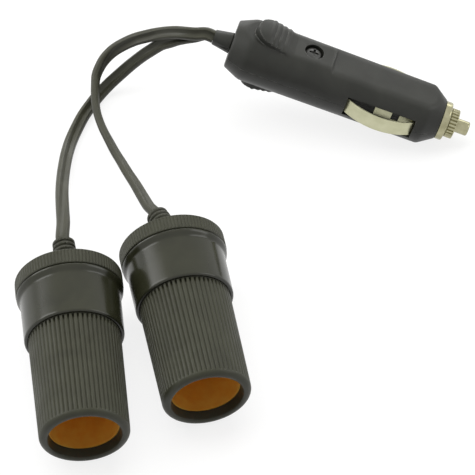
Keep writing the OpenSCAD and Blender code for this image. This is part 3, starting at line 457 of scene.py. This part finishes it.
def modelCentrePin(look):
    size = look["tipRound"]
    outline = [(0, look["collar"]), (look["collarR"], look["collar"]), (look["collarR"], look["collarEnd"])]
    outline += [(look["pinR"], look["collarEnd"]), (look["pinR"], look["ring"])]
    outline += arcPoints(look["pinR"] - size, look["tip"] - size, size, 0, 90, 6)
    outline.append((0, look["tip"]))
    return spinOutline("centrePin", outline, look["steps"])


seatPair(modelSleeve(sleeveLook), "sleeve")
seatPair(modelBarrel(barrelLook), "barrel")
seatPair(modelRearCap(capLook), "rear_cap")
seatPiece(modelNoseNut(nutLook), "nose_nut", plugFrame())
seatPiece(modelCentrePin(pinLook), "centre_pin", plugFrame())
print("turned pieces modelled and seated")


# the two halves of the plug's housing: a sheet rolled round the axis, with soft flats, a step
# and a ridged pad, from which the windows, slots and holes are cut
shellLook = {
    "rear": 6.4, "rearR": 8.2, "rearRound": 0.5, "flare": 12.4, "handleR": 10.8, "cone": 76.6, "bodyR": 10.4,
    "face": 81.7, "faceR": 6.95, "roundOver": 0.5, "panelHeight": 9.4, "frontHeight": 8.75,
    "step": 40.7, "stepLength": 0.9, "stepLip": 0.18, "lipSpread": 3, "panelSoft": 0.45, "frontSoft": 0.95,
    "partingHalf": 0.05, "leastAngle": 0.0048, "leastSine": 0.05,
    "columns": 212, "rows": 100, "innerRows": 28, "leastGap": 0.03,
    "rearShares": (0.1, 0.3), "stepShares": (-0.55, -0.3, 0, 0.3, 0.65, 1),
    "wall": (
        (6.4, 3.1), (8.8, 3.1), (8.85, 4.7), (11.0, 4.7), (11.05, 6), (29.9, 6), (29.95, 1.7), (37.7, 1.7),
        (37.75, 3.375), (74.5, 3.375), (74.55, 5.0), (81.7, 5.0),
    ),
}
padLook = {
    "start": 12.4, "early": 0.01, "length": 14.4, "halfWidth": 6.5, "top": 12.6,
    "crownR": 12.8, "crownEnd": 16.72, "fadeR": 10.6, "wallWidth": 0.6, "soft": 0.4,
    "profile": ((0, 0.62), (0.04, 0.84), (0.1, 0.97), (0.16, 1), (0.3, 0.99), (0.38, 0.91), (1, 0.05)),
    "ridgeStart": 18.16, "ridgePitch": 1.9, "ridges": 4, "ridgeRise": 0.5, "ridgeFullness": 0.7,
    "crownShare": 0.7,
}
cutLook = {
    "window": (49.3, 73.5), "windowHalf": 4.1, "floor": 6.4, "outside": 14, "below": -1,
    "plates": ((59.15, 65.55), (67.85, 72.85)), "plateHalf": 2.25, "armIn": 3.475, "slotEnd": 7.4,
    "feet": ((49.2, 50.0), (72.8, 73.6)), "footHalf": 1.7, "strap": 4.025, "strapHalf": 1.35,
    "strapFrom": 37.75, "strapTo": 72.7, "screwAt": 33.5, "recessR": 3.3, "recessFloor": 6.8, "shankR": 1.7,
    "shankOver": 1, "drillSides": 64,
}


def softMin(a, b, reach):
    share = min(1, max(0, 0.5 + 0.5 * (b - a) / reach))
    return b + (a - b) * share - reach * share * (1 - share)


def heightAt(points, at):
    # height of a row of points at one place
    for (a, low), (b, high) in zip(points, points[1:]):
        if at <= b:
            return low + (high - low) * max(0, at - a) / (b - a)
    return points[-1][1]


def housingRadius(station, angle, look):
    rear, flareEnd, cone, face = look["rear"], look["flare"], look["cone"], look["face"]
    flare = look["rearR"] + (look["handleR"] - look["rearR"]) * (station - rear) / (flareEnd - rear)
    straight = look["handleR"] + (look["bodyR"] - look["handleR"]) * (station - flareEnd) / (cone - flareEnd)
    nose = look["bodyR"] - (look["bodyR"] - look["faceR"]) * (station - cone) / (face - cone)
    radius = softMin(softMin(flare, straight, look["roundOver"]), nose, look["roundOver"])
    edge = max(0, look["rearRound"] - (station - rear))
    radius -= look["rearRound"] - math.sqrt(max(0, look["rearRound"] ** 2 - edge ** 2))
    stepShare = softStep((station - look["step"]) / look["stepLength"])
    height = look["panelHeight"] + (look["frontHeight"] - look["panelHeight"]) * stepShare
    height += look["stepLip"] * max(0, 1 - abs(station - look["step"]) / look["stepLip"] / look["lipSpread"])
    soft = look["panelSoft"] + (look["frontSoft"] - look["panelSoft"]) * stepShare
    return softMin(radius, height / max(look["leastSine"], math.sin(angle)), soft)


def padRadius(station, angle, base, pad):
    share = (station - pad["start"]) / pad["length"]
    if share < -pad["early"] or share > 1:
        return base
    floor = shellLook["panelHeight"]
    top = floor + (pad["top"] - floor) * heightAt(pad["profile"], share)
    past = max(0, station - pad["crownEnd"]) / (pad["start"] + pad["length"] - pad["crownEnd"])
    crown = pad["crownR"] - (pad["crownR"] - pad["fadeR"]) * past
    pitch, first = pad["ridgePitch"], pad["ridgeStart"]
    last = first + (pad["ridges"] - 1) * pitch
    if first - pitch / 2 < station < last + pitch / 2:
        wave = (0.5 + 0.5 * math.cos(math.tau * (station - first) / pitch)) ** pad["ridgeFullness"]
        top += pad["ridgeRise"] * wave
        crown += pad["ridgeRise"] * wave * pad["crownShare"]
    radius = softMin(top / max(shellLook["leastSine"], math.sin(angle)), crown, pad["soft"])
    across = radius * math.cos(angle)
    behind = min(0, station - pad["start"] - pad["halfWidth"])
    inside = pad["halfWidth"] - math.hypot(behind, across)
    return base + max(0, radius - base) * softStep(inside / pad["wallWidth"])


def housingLoop(station, look):
    # one closed section of the half: outside from left to right, then back along the bore
    gap = look["partingHalf"]
    points = []
    for k in range(look["rows"] + 1):
        angle = math.pi * k / look["rows"]
        angle = min(math.pi - look["leastAngle"], max(look["leastAngle"], angle))
        radius = padRadius(station, angle, housingRadius(station, angle, look), padLook)
        points.append((radius * math.cos(angle), max(gap, radius * math.sin(angle))))
    bore = heightAt(look["wall"], station)
    for k in range(look["innerRows"] + 1):
        angle = math.pi - math.pi * k / look["innerRows"]
        points.append((bore * math.cos(angle), max(gap, bore * math.sin(angle))))
    points.append(points[0])
    return points


def housingStations(look):
    # even columns, and closer ones where the wall changes
    rear, reach, count = look["rear"], look["face"] - look["rear"], look["columns"]
    even = [rear + reach * k / count for k in range(count + 1)]
    near = [rear + look["rearRound"] * share for share in look["rearShares"]]
    near += [look["step"] + look["stepLength"] * share for share in look["stepShares"]]
    near += [station for station, _ in look["wall"][1:-1]]
    clear = [s for s in even if all(abs(s - other) > look["leastGap"] for other in near)]
    return sorted(clear + near)


def cutAway(piece, low, high):
    # takes a straight-sided room out of the piece
    bpy.ops.object.select_all(action="DESELECT")
    middle = [(a + b) / 2 for a, b in zip(low, high)]
    bpy.ops.mesh.primitive_cube_add(size=1, location=middle, scale=[b - a for a, b in zip(low, high)])
    takeOut(piece, bpy.context.object)


def drillAway(piece, radius, low, high, at):
    # takes a round hole out of the piece, square to its flats
    bpy.ops.object.select_all(action="DESELECT")
    bpy.ops.mesh.primitive_cylinder_add(
        vertices=cutLook["drillSides"], radius=radius, depth=high - low, location=(0, (low + high) / 2, at),
        rotation=(math.pi / 2, 0, 0),
    )
    takeOut(piece, bpy.context.object)


def takeOut(piece, tool):
    pickOnly(tool)
    bpy.ops.object.transform_apply(location=True, rotation=True, scale=True)
    pickOnly(piece)
    cut = piece.modifiers.new("cutOut", "BOOLEAN")
    cut.operation = "DIFFERENCE"
    cut.solver = "MANIFOLD"
    cut.object = tool
    bpy.ops.object.modifier_apply(modifier=cut.name)
    bpy.data.objects.remove(tool)


def modelHousingHalf(look, cuts, hasRecess):
    stationRow = housingStations(look)
    loops = [housingLoop(station, look) for station in stationRow]
    bpy.ops.object.select_all(action="DESELECT")
    bpy.ops.mesh.primitive_grid_add(x_subdivisions=len(loops[0]) - 1, y_subdivisions=len(loops) - 1, size=2)
    piece = bpy.context.object
    places = [(across, up, station) for station, loop in zip(stationRow, loops) for across, up in loop]
    for vertex, place in zip(piece.data.vertices, places):
        vertex.co = place
    bpy.ops.object.mode_set(mode="EDIT")
    bpy.ops.mesh.select_all(action="SELECT")
    bpy.ops.mesh.remove_doubles(threshold=smoothing["join"])
    bpy.ops.mesh.select_all(action="SELECT")
    bpy.ops.mesh.fill_holes(sides=0)
    bpy.ops.mesh.select_all(action="SELECT")
    bpy.ops.mesh.normals_make_consistent(inside=False)
    bpy.ops.object.mode_set(mode="OBJECT")
    # the window, the strap's tabs and the contact's feet, all reaching past the parting plane
    rooms = [(cuts["floor"], cuts["outside"], cuts["windowHalf"], cuts["window"])]
    rooms += [(cuts["armIn"], cuts["slotEnd"], cuts["plateHalf"], ends) for ends in cuts["plates"]]
    rooms += [(cuts["armIn"], cuts["slotEnd"], cuts["footHalf"], ends) for ends in cuts["feet"]]
    below = cuts["below"]
    for side in (-1, 1):
        for inner, outer, height, (start, end) in rooms:
            left, right = sorted((side * inner, side * outer))
            cutAway(piece, (left, below, start), (right, height, end))
    strap = cuts["strap"]
    cutAway(piece, (-strap, below, cuts["strapFrom"]), (strap, cuts["strapHalf"], cuts["strapTo"]))
    drillAway(piece, cuts["shankR"], 0, cuts["recessFloor"] + cuts["shankOver"], cuts["screwAt"])
    if hasRecess:
        drillAway(piece, cuts["recessR"], cuts["recessFloor"], cuts["outside"], cuts["screwAt"])
    return piece


# shell screw: a low domed head with a cross slot, and a shank down into the lower half
screwLook = {
    "seat": 6.8, "headR": 2.85, "headEdge": 0.1, "headSide": 8.1, "top": 8.95,
    "domeSteps": 8, "domeFullness": 0.8,
    "shankR": 1.5, "end": -4.5, "tipShare": 0.5, "tipLength": 0.8, "steps": 96,
    "slotWidth": 0.8, "slotLength": 3.3, "slotDepth": 0.9, "slotOver": 1,
}


def modelShellScrew(look):
    shank, head, seat = look["shankR"], look["headR"], look["seat"]
    side, end = look["headSide"], look["end"]
    outline = [(0, end), (shank * look["tipShare"], end), (shank, end + look["tipLength"]), (shank, seat)]
    outline += [(head - look["headEdge"], seat), (head, seat + look["headEdge"])]
    for k in range(look["domeSteps"]):
        angle = math.radians(90 * k / look["domeSteps"])
        radius = head * math.cos(angle) ** look["domeFullness"]
        outline.append((radius, side + (look["top"] - side) * math.sin(angle)))
    outline.append((0, look["top"]))
    piece = spinOutline("shellScrew", outline, look["steps"])
    half, reach = look["slotWidth"] / 2, look["slotLength"] / 2
    floor, above = look["top"] - look["slotDepth"], look["top"] + look["slotOver"]
    cutAway(piece, (-half, -reach, floor), (half, reach, above))
    cutAway(piece, (-reach, -half, floor), (reach, half, above))
    return piece


def screwFrame():
    # the screw's own z axis is the plug's up direction
    upright = Matrix.Rotation(-math.pi / 2, 4, "X")
    return plugFrame() @ Matrix.Translation((0, 0, cutLook["screwAt"])) @ upright


seatPiece(modelShellScrew(screwLook), "shell_screw", screwFrame())
upperHalf = modelHousingHalf(shellLook, cutLook, True)
seatPiece(upperHalf, "plug_upper_shell", plugFrame())
lowerHalf = modelHousingHalf(shellLook, cutLook, False)
seatPiece(lowerHalf, "plug_lower_shell", plugFrame() @ Matrix.Rotation(math.pi, 4, "Z"))
print("housing halves modelled:", len(upperHalf.data.polygons), "faces in the upper one")


# node groups that the finishes share
grainLook = {
    "mouldTone": (0.32, 0.68), "metalTone": (0.35, 0.7), "metalDepth": 0.00002, "breakShare": 4,
    "lineTurn": (0, 14.6, -13.8), "lineStretch": (0.06, 1, 1),
}


def newGroup(name, inputs, outputs):
    group = bpy.data.node_groups.new(name, "ShaderNodeTree")
    for kind, socket in inputs:
        group.interface.new_socket(name=socket, in_out="INPUT", socket_type=kind)
    for kind, socket in outputs:
        group.interface.new_socket(name=socket, in_out="OUTPUT", socket_type=kind)
    return group, group.nodes.new("NodeGroupInput"), group.nodes.new("NodeGroupOutput")


def addNode(tree, kind, values=None, **settings):
    # values go to the node's sockets, and settings to the node itself
    made = tree.nodes.new(kind)
    for name, setting in settings.items():
        setattr(made, name, setting)
    for socket, value in (values or {}).items():
        made.inputs[socket].default_value = value
    return made


def addGroup(tree, group, values):
    return addNode(tree, "ShaderNodeGroup", values, node_tree=group)


def wire(tree, *rows):
    for source, output, aim, socket in rows:
        tree.links.new(source.outputs[output], aim.inputs[socket])


def opaque(colour):
    return (*colour, 1)


def buildMouldGrain():
    # fine spark-eroded grain, soft flow marks and a tone for the colour
    group, start, end = newGroup(
        "mouldGrain",
        [("NodeSocketVector", "Place"), ("NodeSocketFloat", "Grain size"), ("NodeSocketFloat", "Flow size")],
        [("NodeSocketFloat", "Height"), ("NodeSocketFloat", "Tone"), ("NodeSocketFloat", "Smudge")],
    )
    fine = addNode(group, "ShaderNodeTexNoise", {"Detail": 3, "Roughness": 0.65})
    flow = addNode(group, "ShaderNodeTexNoise", {"Detail": 4, "Roughness": 0.5, "Distortion": 0.6})
    smear = addNode(group, "ShaderNodeTexNoise", {"Detail": 2, "Roughness": 0.45, "Distortion": 1.4})
    half = addNode(group, "ShaderNodeMath", {1: 0.45}, operation="MULTIPLY")
    total = addNode(group, "ShaderNodeMath", {1: 0.25}, operation="MULTIPLY_ADD")
    wire(
        group,
        (start, "Place", fine, "Vector"), (start, "Place", flow, "Vector"), (start, "Place", smear, "Vector"),
        (start, "Grain size", fine, "Scale"), (start, "Flow size", flow, "Scale"),
        (start, "Flow size", half, 0), (half, 0, smear, "Scale"),
        (flow, "Fac", total, 0), (fine, "Fac", total, 2), (total, 0, end, "Height"),
        (flow, "Fac", end, "Tone"), (smear, "Fac", end, "Smudge"),
    )
    return group


def buildEdgeRub():
    # 1 on edges and corners that hands and sockets rub, broken up by noise; the housing's finish also paints
    # a highlight there
    group, start, end = newGroup(
        "edgeRub",
        [("NodeSocketVector", "Place"), ("NodeSocketFloat", "Reach"), ("NodeSocketFloat", "Break size")],
        [("NodeSocketFloat", "Rub")],
    )
    geometry = addNode(group, "ShaderNodeNewGeometry")
    rounded = addNode(group, "ShaderNodeBevel", samples=4)
    turn = addNode(group, "ShaderNodeVectorMath", operation="DOT_PRODUCT")
    bend = addNode(group, "ShaderNodeMapRange", {"From Min": 0.995, "From Max": 0.86})
    breakUp = addNode(group, "ShaderNodeTexNoise", {"Detail": 4, "Roughness": 0.7})
    spread = addNode(group, "ShaderNodeMapRange", {"From Min": 0.38, "From Max": 0.68})
    both = addNode(group, "ShaderNodeMath", operation="MULTIPLY")
    wire(
        group,
        (start, "Reach", rounded, "Radius"), (geometry, "Normal", turn, 0), (rounded, "Normal", turn, 1),
        (turn, "Value", bend, "Value"), (start, "Place", breakUp, "Vector"),
        (start, "Break size", breakUp, "Scale"), (breakUp, "Fac", spread, "Value"),
        (bend, "Result", both, 0), (spread, "Result", both, 1), (both, 0, end, "Rub"),
    )
    return group


def buildPlatedGrain():
    # rolled or turned metal: fine lines stretched along the plug, and a slow tone
    group, start, end = newGroup(
        "platedGrain",
        [("NodeSocketVector", "Place"), ("NodeSocketFloat", "Line size")],
        [("NodeSocketFloat", "Lines"), ("NodeSocketFloat", "Tone")],
    )
    turn = tuple(math.radians(angle) for angle in grainLook["lineTurn"])
    stretch = addNode(group, "ShaderNodeMapping", {"Rotation": turn, "Scale": grainLook["lineStretch"]})
    lines = addNode(group, "ShaderNodeTexNoise", {"Detail": 3, "Roughness": 0.6})
    tone = addNode(group, "ShaderNodeTexNoise", {"Scale": 260, "Detail": 3, "Roughness": 0.55})
    wire(
        group,
        (start, "Place", stretch, "Vector"), (stretch, "Vector", lines, "Vector"),
        (start, "Line size", lines, "Scale"), (start, "Place", tone, "Vector"),
        (lines, "Fac", end, "Lines"), (tone, "Fac", end, "Tone"),
    )
    return group


mouldGrain = buildMouldGrain()
edgeRub = buildEdgeRub()
platedGrain = buildPlatedGrain()


def startMaterial(name):
    material = bpy.data.materials.new(name)
    material.use_nodes = True
    tree = material.node_tree
    return material, tree, tree.nodes["Principled BSDF"], tree.nodes.new("ShaderNodeTexCoord")


def toneMix(tree, look, reach):
    # the dark and the light colour of a finish, mixed by a tone
    tone = addNode(tree, "ShaderNodeMapRange", {"From Min": reach[0], "From Max": reach[1]})
    colours = {6: opaque(look["dark"]), 7: opaque(look["light"])}
    base = addNode(tree, "ShaderNodeMix", colours, data_type="RGBA")
    wire(tree, (tone, "Result", base, 0))
    return tone, base


def softenEdges(tree, shader, look, depth):
    # small bevels and the grain's bumps in the shading
    rounded = addNode(tree, "ShaderNodeBevel", {"Radius": look["edge"]}, samples=4)
    bump = addNode(tree, "ShaderNodeBump", {"Strength": look["bump"], "Distance": depth})
    wire(tree, (rounded, "Normal", bump, "Normal"), (bump, "Normal", shader, "Normal"))
    return bump


def mouldedFinish(name, look):
    material, tree, shader, place = startMaterial(name)
    grain = addGroup(tree, mouldGrain, {"Grain size": look["grainSize"], "Flow size": look["flowSize"]})
    breakSize = look["flowSize"] * grainLook["breakShare"]
    rubAndGlint = addGroup(tree, edgeRub, {"Reach": look["edge"], "Break size": breakSize})
    tone, base = toneMix(tree, look, grainLook["mouldTone"])
    # the rub colour on edges is wear, and on the housing it is a painted highlight
    wornAndGlinting = addNode(tree, "ShaderNodeMix", {7: opaque(look["rubAndGlint"])}, data_type="RGBA")
    rubAndGlintShare = addNode(tree, "ShaderNodeMath", {1: look["rubAndGlintShare"]}, operation="MULTIPLY")
    rough = addNode(tree, "ShaderNodeMapRange", {
        "From Min": 0.3, "From Max": 0.7, "To Min": look["roughLow"], "To Max": look["roughHigh"],
    })
    bump = softenEdges(tree, shader, look, look["bumpDepth"])
    wire(
        tree,
        (place, "Object", grain, "Place"), (place, "Object", rubAndGlint, "Place"), (grain, "Tone", tone, "Value"),
        (base, 2, wornAndGlinting, 6), (rubAndGlint, "Rub", rubAndGlintShare, 0), (rubAndGlintShare, 0, wornAndGlinting, 0),
        (wornAndGlinting, 2, shader, "Base Color"), (grain, "Smudge", rough, "Value"),
        (rough, "Result", shader, "Roughness"), (grain, "Height", bump, "Height"),
    )
    shader.inputs["Specular IOR Level"].default_value = look.get("gloss", 0.5)
    return material


def metalFinish(name, look):
    material, tree, shader, place = startMaterial(name)
    grain = addGroup(tree, platedGrain, {"Line size": look["lineSize"]})
    tone, base = toneMix(tree, look, grainLook["metalTone"])
    rough = addNode(tree, "ShaderNodeMapRange", {"To Min": look["roughLow"], "To Max": look["roughHigh"]})
    bump = softenEdges(tree, shader, look, grainLook["metalDepth"])
    wire(
        tree,
        (place, "Object", grain, "Place"), (grain, "Tone", tone, "Value"), (base, 2, shader, "Base Color"),
        (grain, "Lines", rough, "Value"), (rough, "Result", shader, "Roughness"),
        (grain, "Lines", bump, "Height"),
    )
    shader.inputs["Metallic"].default_value = look.get("metallic", 1)
    return material


def clearGlass(name, look):
    material, tree, shader, place = startMaterial(name)
    smear = addNode(tree, "ShaderNodeTexNoise", {"Scale": look["smearSize"], "Detail": 3})
    rough = addNode(tree, "ShaderNodeMapRange", {"To Min": look["roughLow"], "To Max": look["roughHigh"]})
    wire(
        tree,
        (place, "Object", smear, "Vector"), (smear, "Fac", rough, "Value"),
        (rough, "Result", shader, "Roughness"),
    )
    for socket, value in (("Base Color", opaque(look["tint"])), ("Transmission Weight", 1), ("IOR", 1.5)):
        shader.inputs[socket].default_value = value
    return material


finishes = {
    "black_body": mouldedFinish("satinBlackMoulding", {
        "dark": (0.026, 0.0265, 0.0155), "light": (0.036, 0.037, 0.0225),
        "rubAndGlint": (0.08, 0.08, 0.06), "rubAndGlintShare": 0.4, "grainSize": 5200, "flowSize": 120,
        "roughLow": 0.38, "roughHigh": 0.52, "edge": 0.0003,
        "bump": 0.35, "bumpDepth": 0.00006, "gloss": 0.34,
    }),
    # the housing's bright rub colour at full share is a painted highlight on its edges, the step's lip among
    # them
    "shell_moulding": mouldedFinish("housingMoulding", {
        "dark": (0.016, 0.0166, 0.0134), "light": (0.0235, 0.0241, 0.0200),
        "rubAndGlint": (0.20, 0.20, 0.185), "rubAndGlintShare": 1.0, "grainSize": 4200, "flowSize": 110,
        "roughLow": 0.34, "roughHigh": 0.5, "edge": 0.00035,
        "bump": 0.3, "bumpDepth": 0.00006, "gloss": 0.36,
    }),
    "gloss_barrel": mouldedFinish("glossBlackMoulding", {
        "dark": (0.018, 0.0187, 0.0095), "light": (0.025, 0.0258, 0.0135),
        "rubAndGlint": (0.06, 0.056, 0.03), "rubAndGlintShare": 0.4, "grainSize": 900, "flowSize": 90,
        "roughLow": 0.16, "roughHigh": 0.27, "edge": 0.0003,
        "bump": 0.05, "bumpDepth": 0.00005, "gloss": 0.42,
    }),
    "boot_rubber": mouldedFinish("softBlackRubber", {
        "dark": (0.020, 0.0205, 0.012), "light": (0.029, 0.0295, 0.018),
        "rubAndGlint": (0.06, 0.06, 0.05), "rubAndGlintShare": 0.3, "grainSize": 4200, "flowSize": 160,
        "roughLow": 0.45, "roughHigh": 0.6, "edge": 0.0003,
        "bump": 0.3, "bumpDepth": 0.00006, "gloss": 0.38,
    }),
    "cord_vinyl": mouldedFinish("blackCordVinyl", {
        "dark": (0.026, 0.0262, 0.015), "light": (0.037, 0.0368, 0.0225),
        "rubAndGlint": (0.06, 0.06, 0.05), "rubAndGlintShare": 0.0, "grainSize": 3200, "flowSize": 140,
        "roughLow": 0.36, "roughHigh": 0.5, "edge": 0.0002,
        "bump": 0.2, "bumpDepth": 0.00005, "gloss": 0.42,
    }),
    "dark_screw": mouldedFinish("blackenedSteel", {
        "dark": (0.020, 0.020, 0.018), "light": (0.036, 0.036, 0.032),
        "rubAndGlint": (0.14, 0.14, 0.12), "rubAndGlintShare": 0.6, "grainSize": 2600, "flowSize": 500,
        "roughLow": 0.3, "roughHigh": 0.45, "edge": 0.0002,
        "bump": 0.2, "bumpDepth": 0.00004, "gloss": 0.6,
    }),
    "insulator_board": mouldedFinish("pressedBoard", {
        "dark": (0.30, 0.22, 0.12), "light": (0.42, 0.32, 0.18),
        "rubAndGlint": (0.5, 0.42, 0.3), "rubAndGlintShare": 0.2, "grainSize": 2600, "flowSize": 300,
        "roughLow": 0.5, "roughHigh": 0.7, "edge": 0.0002, "bump": 0.3, "bumpDepth": 0.00005,
    }),
    "contact_metal": metalFinish("nickelStrip", {
        "dark": (0.47, 0.465, 0.31), "light": (0.54, 0.535, 0.37), "lineSize": 9000,
        "roughLow": 0.3, "roughHigh": 0.42, "bump": 0.15, "edge": 0.0001,
    }),
    "nose_metal": metalFinish("nickelNose", {
        "dark": (0.31, 0.295, 0.18), "light": (0.44, 0.42, 0.28), "lineSize": 6000,
        "roughLow": 0.14, "roughHigh": 0.26, "bump": 0.15, "edge": 0.00012,
    }),
    "liner_brass": metalFinish("goldLiner", {
        "dark": (0.95, 0.49, 0.07), "light": (1.0, 0.60, 0.11), "lineSize": 2600,
        "roughLow": 0.34, "roughHigh": 0.5, "bump": 0.1, "edge": 0.0001, "metallic": 0.05,
    }),
    "lug_brass": metalFinish("plainBrass", {
        "dark": (0.58, 0.40, 0.14), "light": (0.72, 0.54, 0.24), "lineSize": 3000,
        "roughLow": 0.25, "roughHigh": 0.4, "bump": 0.15, "edge": 0.0001,
    }),
    "fuse_metal": metalFinish("brightCaps", {
        "dark": (0.66, 0.66, 0.63), "light": (0.8, 0.8, 0.78), "lineSize": 3600,
        "roughLow": 0.15, "roughHigh": 0.26, "bump": 0.1, "edge": 0.0001,
    }),
    "spring_steel": metalFinish("brightWire", {
        "dark": (0.48, 0.48, 0.46), "light": (0.62, 0.62, 0.6), "lineSize": 3600,
        "roughLow": 0.2, "roughHigh": 0.34, "bump": 0.1, "edge": 0.0001,
    }),
    "fuse_glass": clearGlass("fuseGlass", {
        "tint": (0.93, 0.97, 0.96), "smearSize": 420, "roughLow": 0.02, "roughHigh": 0.08,
    }),
}
print("finishes made:", len(finishes))


# every CAD node gets its finish, and those not modelled above get a smooth merged copy
def giveFinish(piece, node):
    finish = "shell_moulding" if node.endswith(("shell", "boot")) else slotOf[node]
    piece.data.materials.clear()
    piece.data.materials.append(finishes[finish])


def smoothCopy(node):
    pickOnly(nodes[node])
    bpy.ops.object.duplicate()
    piece = bpy.context.object
    piece.name = node + "Shape"
    piece.parent = None
    bpy.ops.object.mode_set(mode="EDIT")
    bpy.ops.mesh.select_all(action="SELECT")
    bpy.ops.mesh.remove_doubles(threshold=smoothing["merge"])
    bpy.ops.object.mode_set(mode="OBJECT")
    standFor(piece, node)


for node in nodes:
    giveFinish(nodes[node], node)
    if node not in modelled:
        smoothCopy(node)
for piece in bpy.data.objects:
    if piece.name.endswith(("Shape", "Tube")):
        giveFinish(piece, piece.name.removesuffix("Shape").removesuffix("Tube"))
print("nodes dressed")


# the fuse spring closes up towards its rear end when the pin is pushed in; here only its rear end on the
# pin's axis is found, and its copy gets a mesh of its own
springLook = {"rearStation": 42.45, "restLength": 11.0, "travel": 2.5}
pinAxis = Vector(mounts["plug_tip"]["axis"])
springRear = pinAxis * millimetre * (springLook["rearStation"] - stations["pinTip"])
springRear += Vector(mounts["plug_tip"]["pos_m"])
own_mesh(bpy.data.objects["fuse_springShape"])
print("spring set")


# white floor, soft studio lights and a plain pale room
studio = {
    "floorSize": 6, "floorDrop": 0.0002, "floorShare": 0.2, "floorBounce": 0.42, "glowShare": 0.9,
    "roomLight": 0.24, "roomColour": (1.0, 0.985, 0.93),
    "lamps": [
        {"name": "topSoftbox", "place": (-0.2, 0.45, 1.2), "size": (2.0, 1.0), "power": 23, "shines": False},
        {"name": "leftSoftbox", "place": (-1.0, 0.2, 0.7), "size": (0.5, 0.8), "power": 4.4, "shines": True},
        {"name": "backSoftbox", "place": (0.1, 1.2, 0.45), "size": (1.2, 0.35), "power": 3.4, "shines": True},
        {"name": "rightSoftbox", "place": (1.0, 0.1, 0.7), "size": (0.5, 0.8), "power": 2.5, "shines": True},
    ],
}


def cameraShare(tree):
    # 1 for camera, mirror and glass rays, which see the plain white
    rays = tree.nodes.new("ShaderNodeLightPath")
    share = rays.outputs["Is Camera Ray"]
    for kind in ("Is Glossy Ray", "Is Transmission Ray"):
        either = addNode(tree, "ShaderNodeMath", operation="MAXIMUM")
        tree.links.new(share, either.inputs[0])
        tree.links.new(rays.outputs[kind], either.inputs[1])
        share = either.outputs[0]
    return share


def whiteFloor():
    bpy.ops.object.select_all(action="DESELECT")
    bpy.ops.mesh.primitive_plane_add(size=studio["floorSize"], location=(0, 0, -studio["floorDrop"]))
    floor = bpy.context.object
    floor.name = "floor"
    material = bpy.data.materials.new("paleFloor")
    material.use_nodes = True
    tree = material.node_tree
    tree.nodes.remove(tree.nodes["Principled BSDF"])
    matt = addNode(tree, "ShaderNodeBsdfDiffuse", {"Color": opaque((studio["floorBounce"],) * 3)})
    shaded = addNode(tree, "ShaderNodeBsdfDiffuse", {"Color": opaque((studio["floorShare"],) * 3)})
    glow = addNode(tree, "ShaderNodeEmission", {"Strength": 1 - studio["floorShare"] * studio["glowShare"]})
    seen = addNode(tree, "ShaderNodeAddShader")
    pick = addNode(tree, "ShaderNodeMixShader")
    tree.links.new(cameraShare(tree), pick.inputs[0])
    wire(
        tree,
        (shaded, 0, seen, 0), (glow, 0, seen, 1), (matt, 0, pick, 1), (seen, 0, pick, 2),
        (pick, 0, tree.nodes["Material Output"], "Surface"),
    )
    floor.data.materials.append(material)


def softRoom():
    world = bpy.data.worlds.new("paleRoom")
    bpy.context.scene.world = world
    world.use_nodes = True
    tree = world.node_tree
    light = tree.nodes["Background"]
    light.inputs["Color"].default_value = opaque(studio["roomColour"])
    light.inputs["Strength"].default_value = studio["roomLight"]
    white = addNode(tree, "ShaderNodeBackground", {"Color": (1, 1, 1, 1), "Strength": 1})
    pick = addNode(tree, "ShaderNodeMixShader")
    tree.links.new(cameraShare(tree), pick.inputs[0])
    wire(tree, (light, 0, pick, 1), (white, 0, pick, 2), (pick, 0, tree.nodes["World Output"], "Surface"))


def hangLamp(lamp):
    bpy.ops.object.light_add(type="AREA", location=lamp["place"])
    light = bpy.context.object
    light.name = lamp["name"]
    light.data.shape = "RECTANGLE"
    light.data.size, light.data.size_y = lamp["size"]
    light.data.energy = lamp["power"]
    light.visible_glossy = lamp["shines"]
    light.rotation_euler = (-Vector(lamp["place"])).to_track_quat("-Z", "Y").to_euler()


whiteFloor()
softRoom()
for lamp in studio["lamps"]:
    hangLamp(lamp)
bpy.context.scene.view_settings.view_transform = "Standard"
print("studio lit")
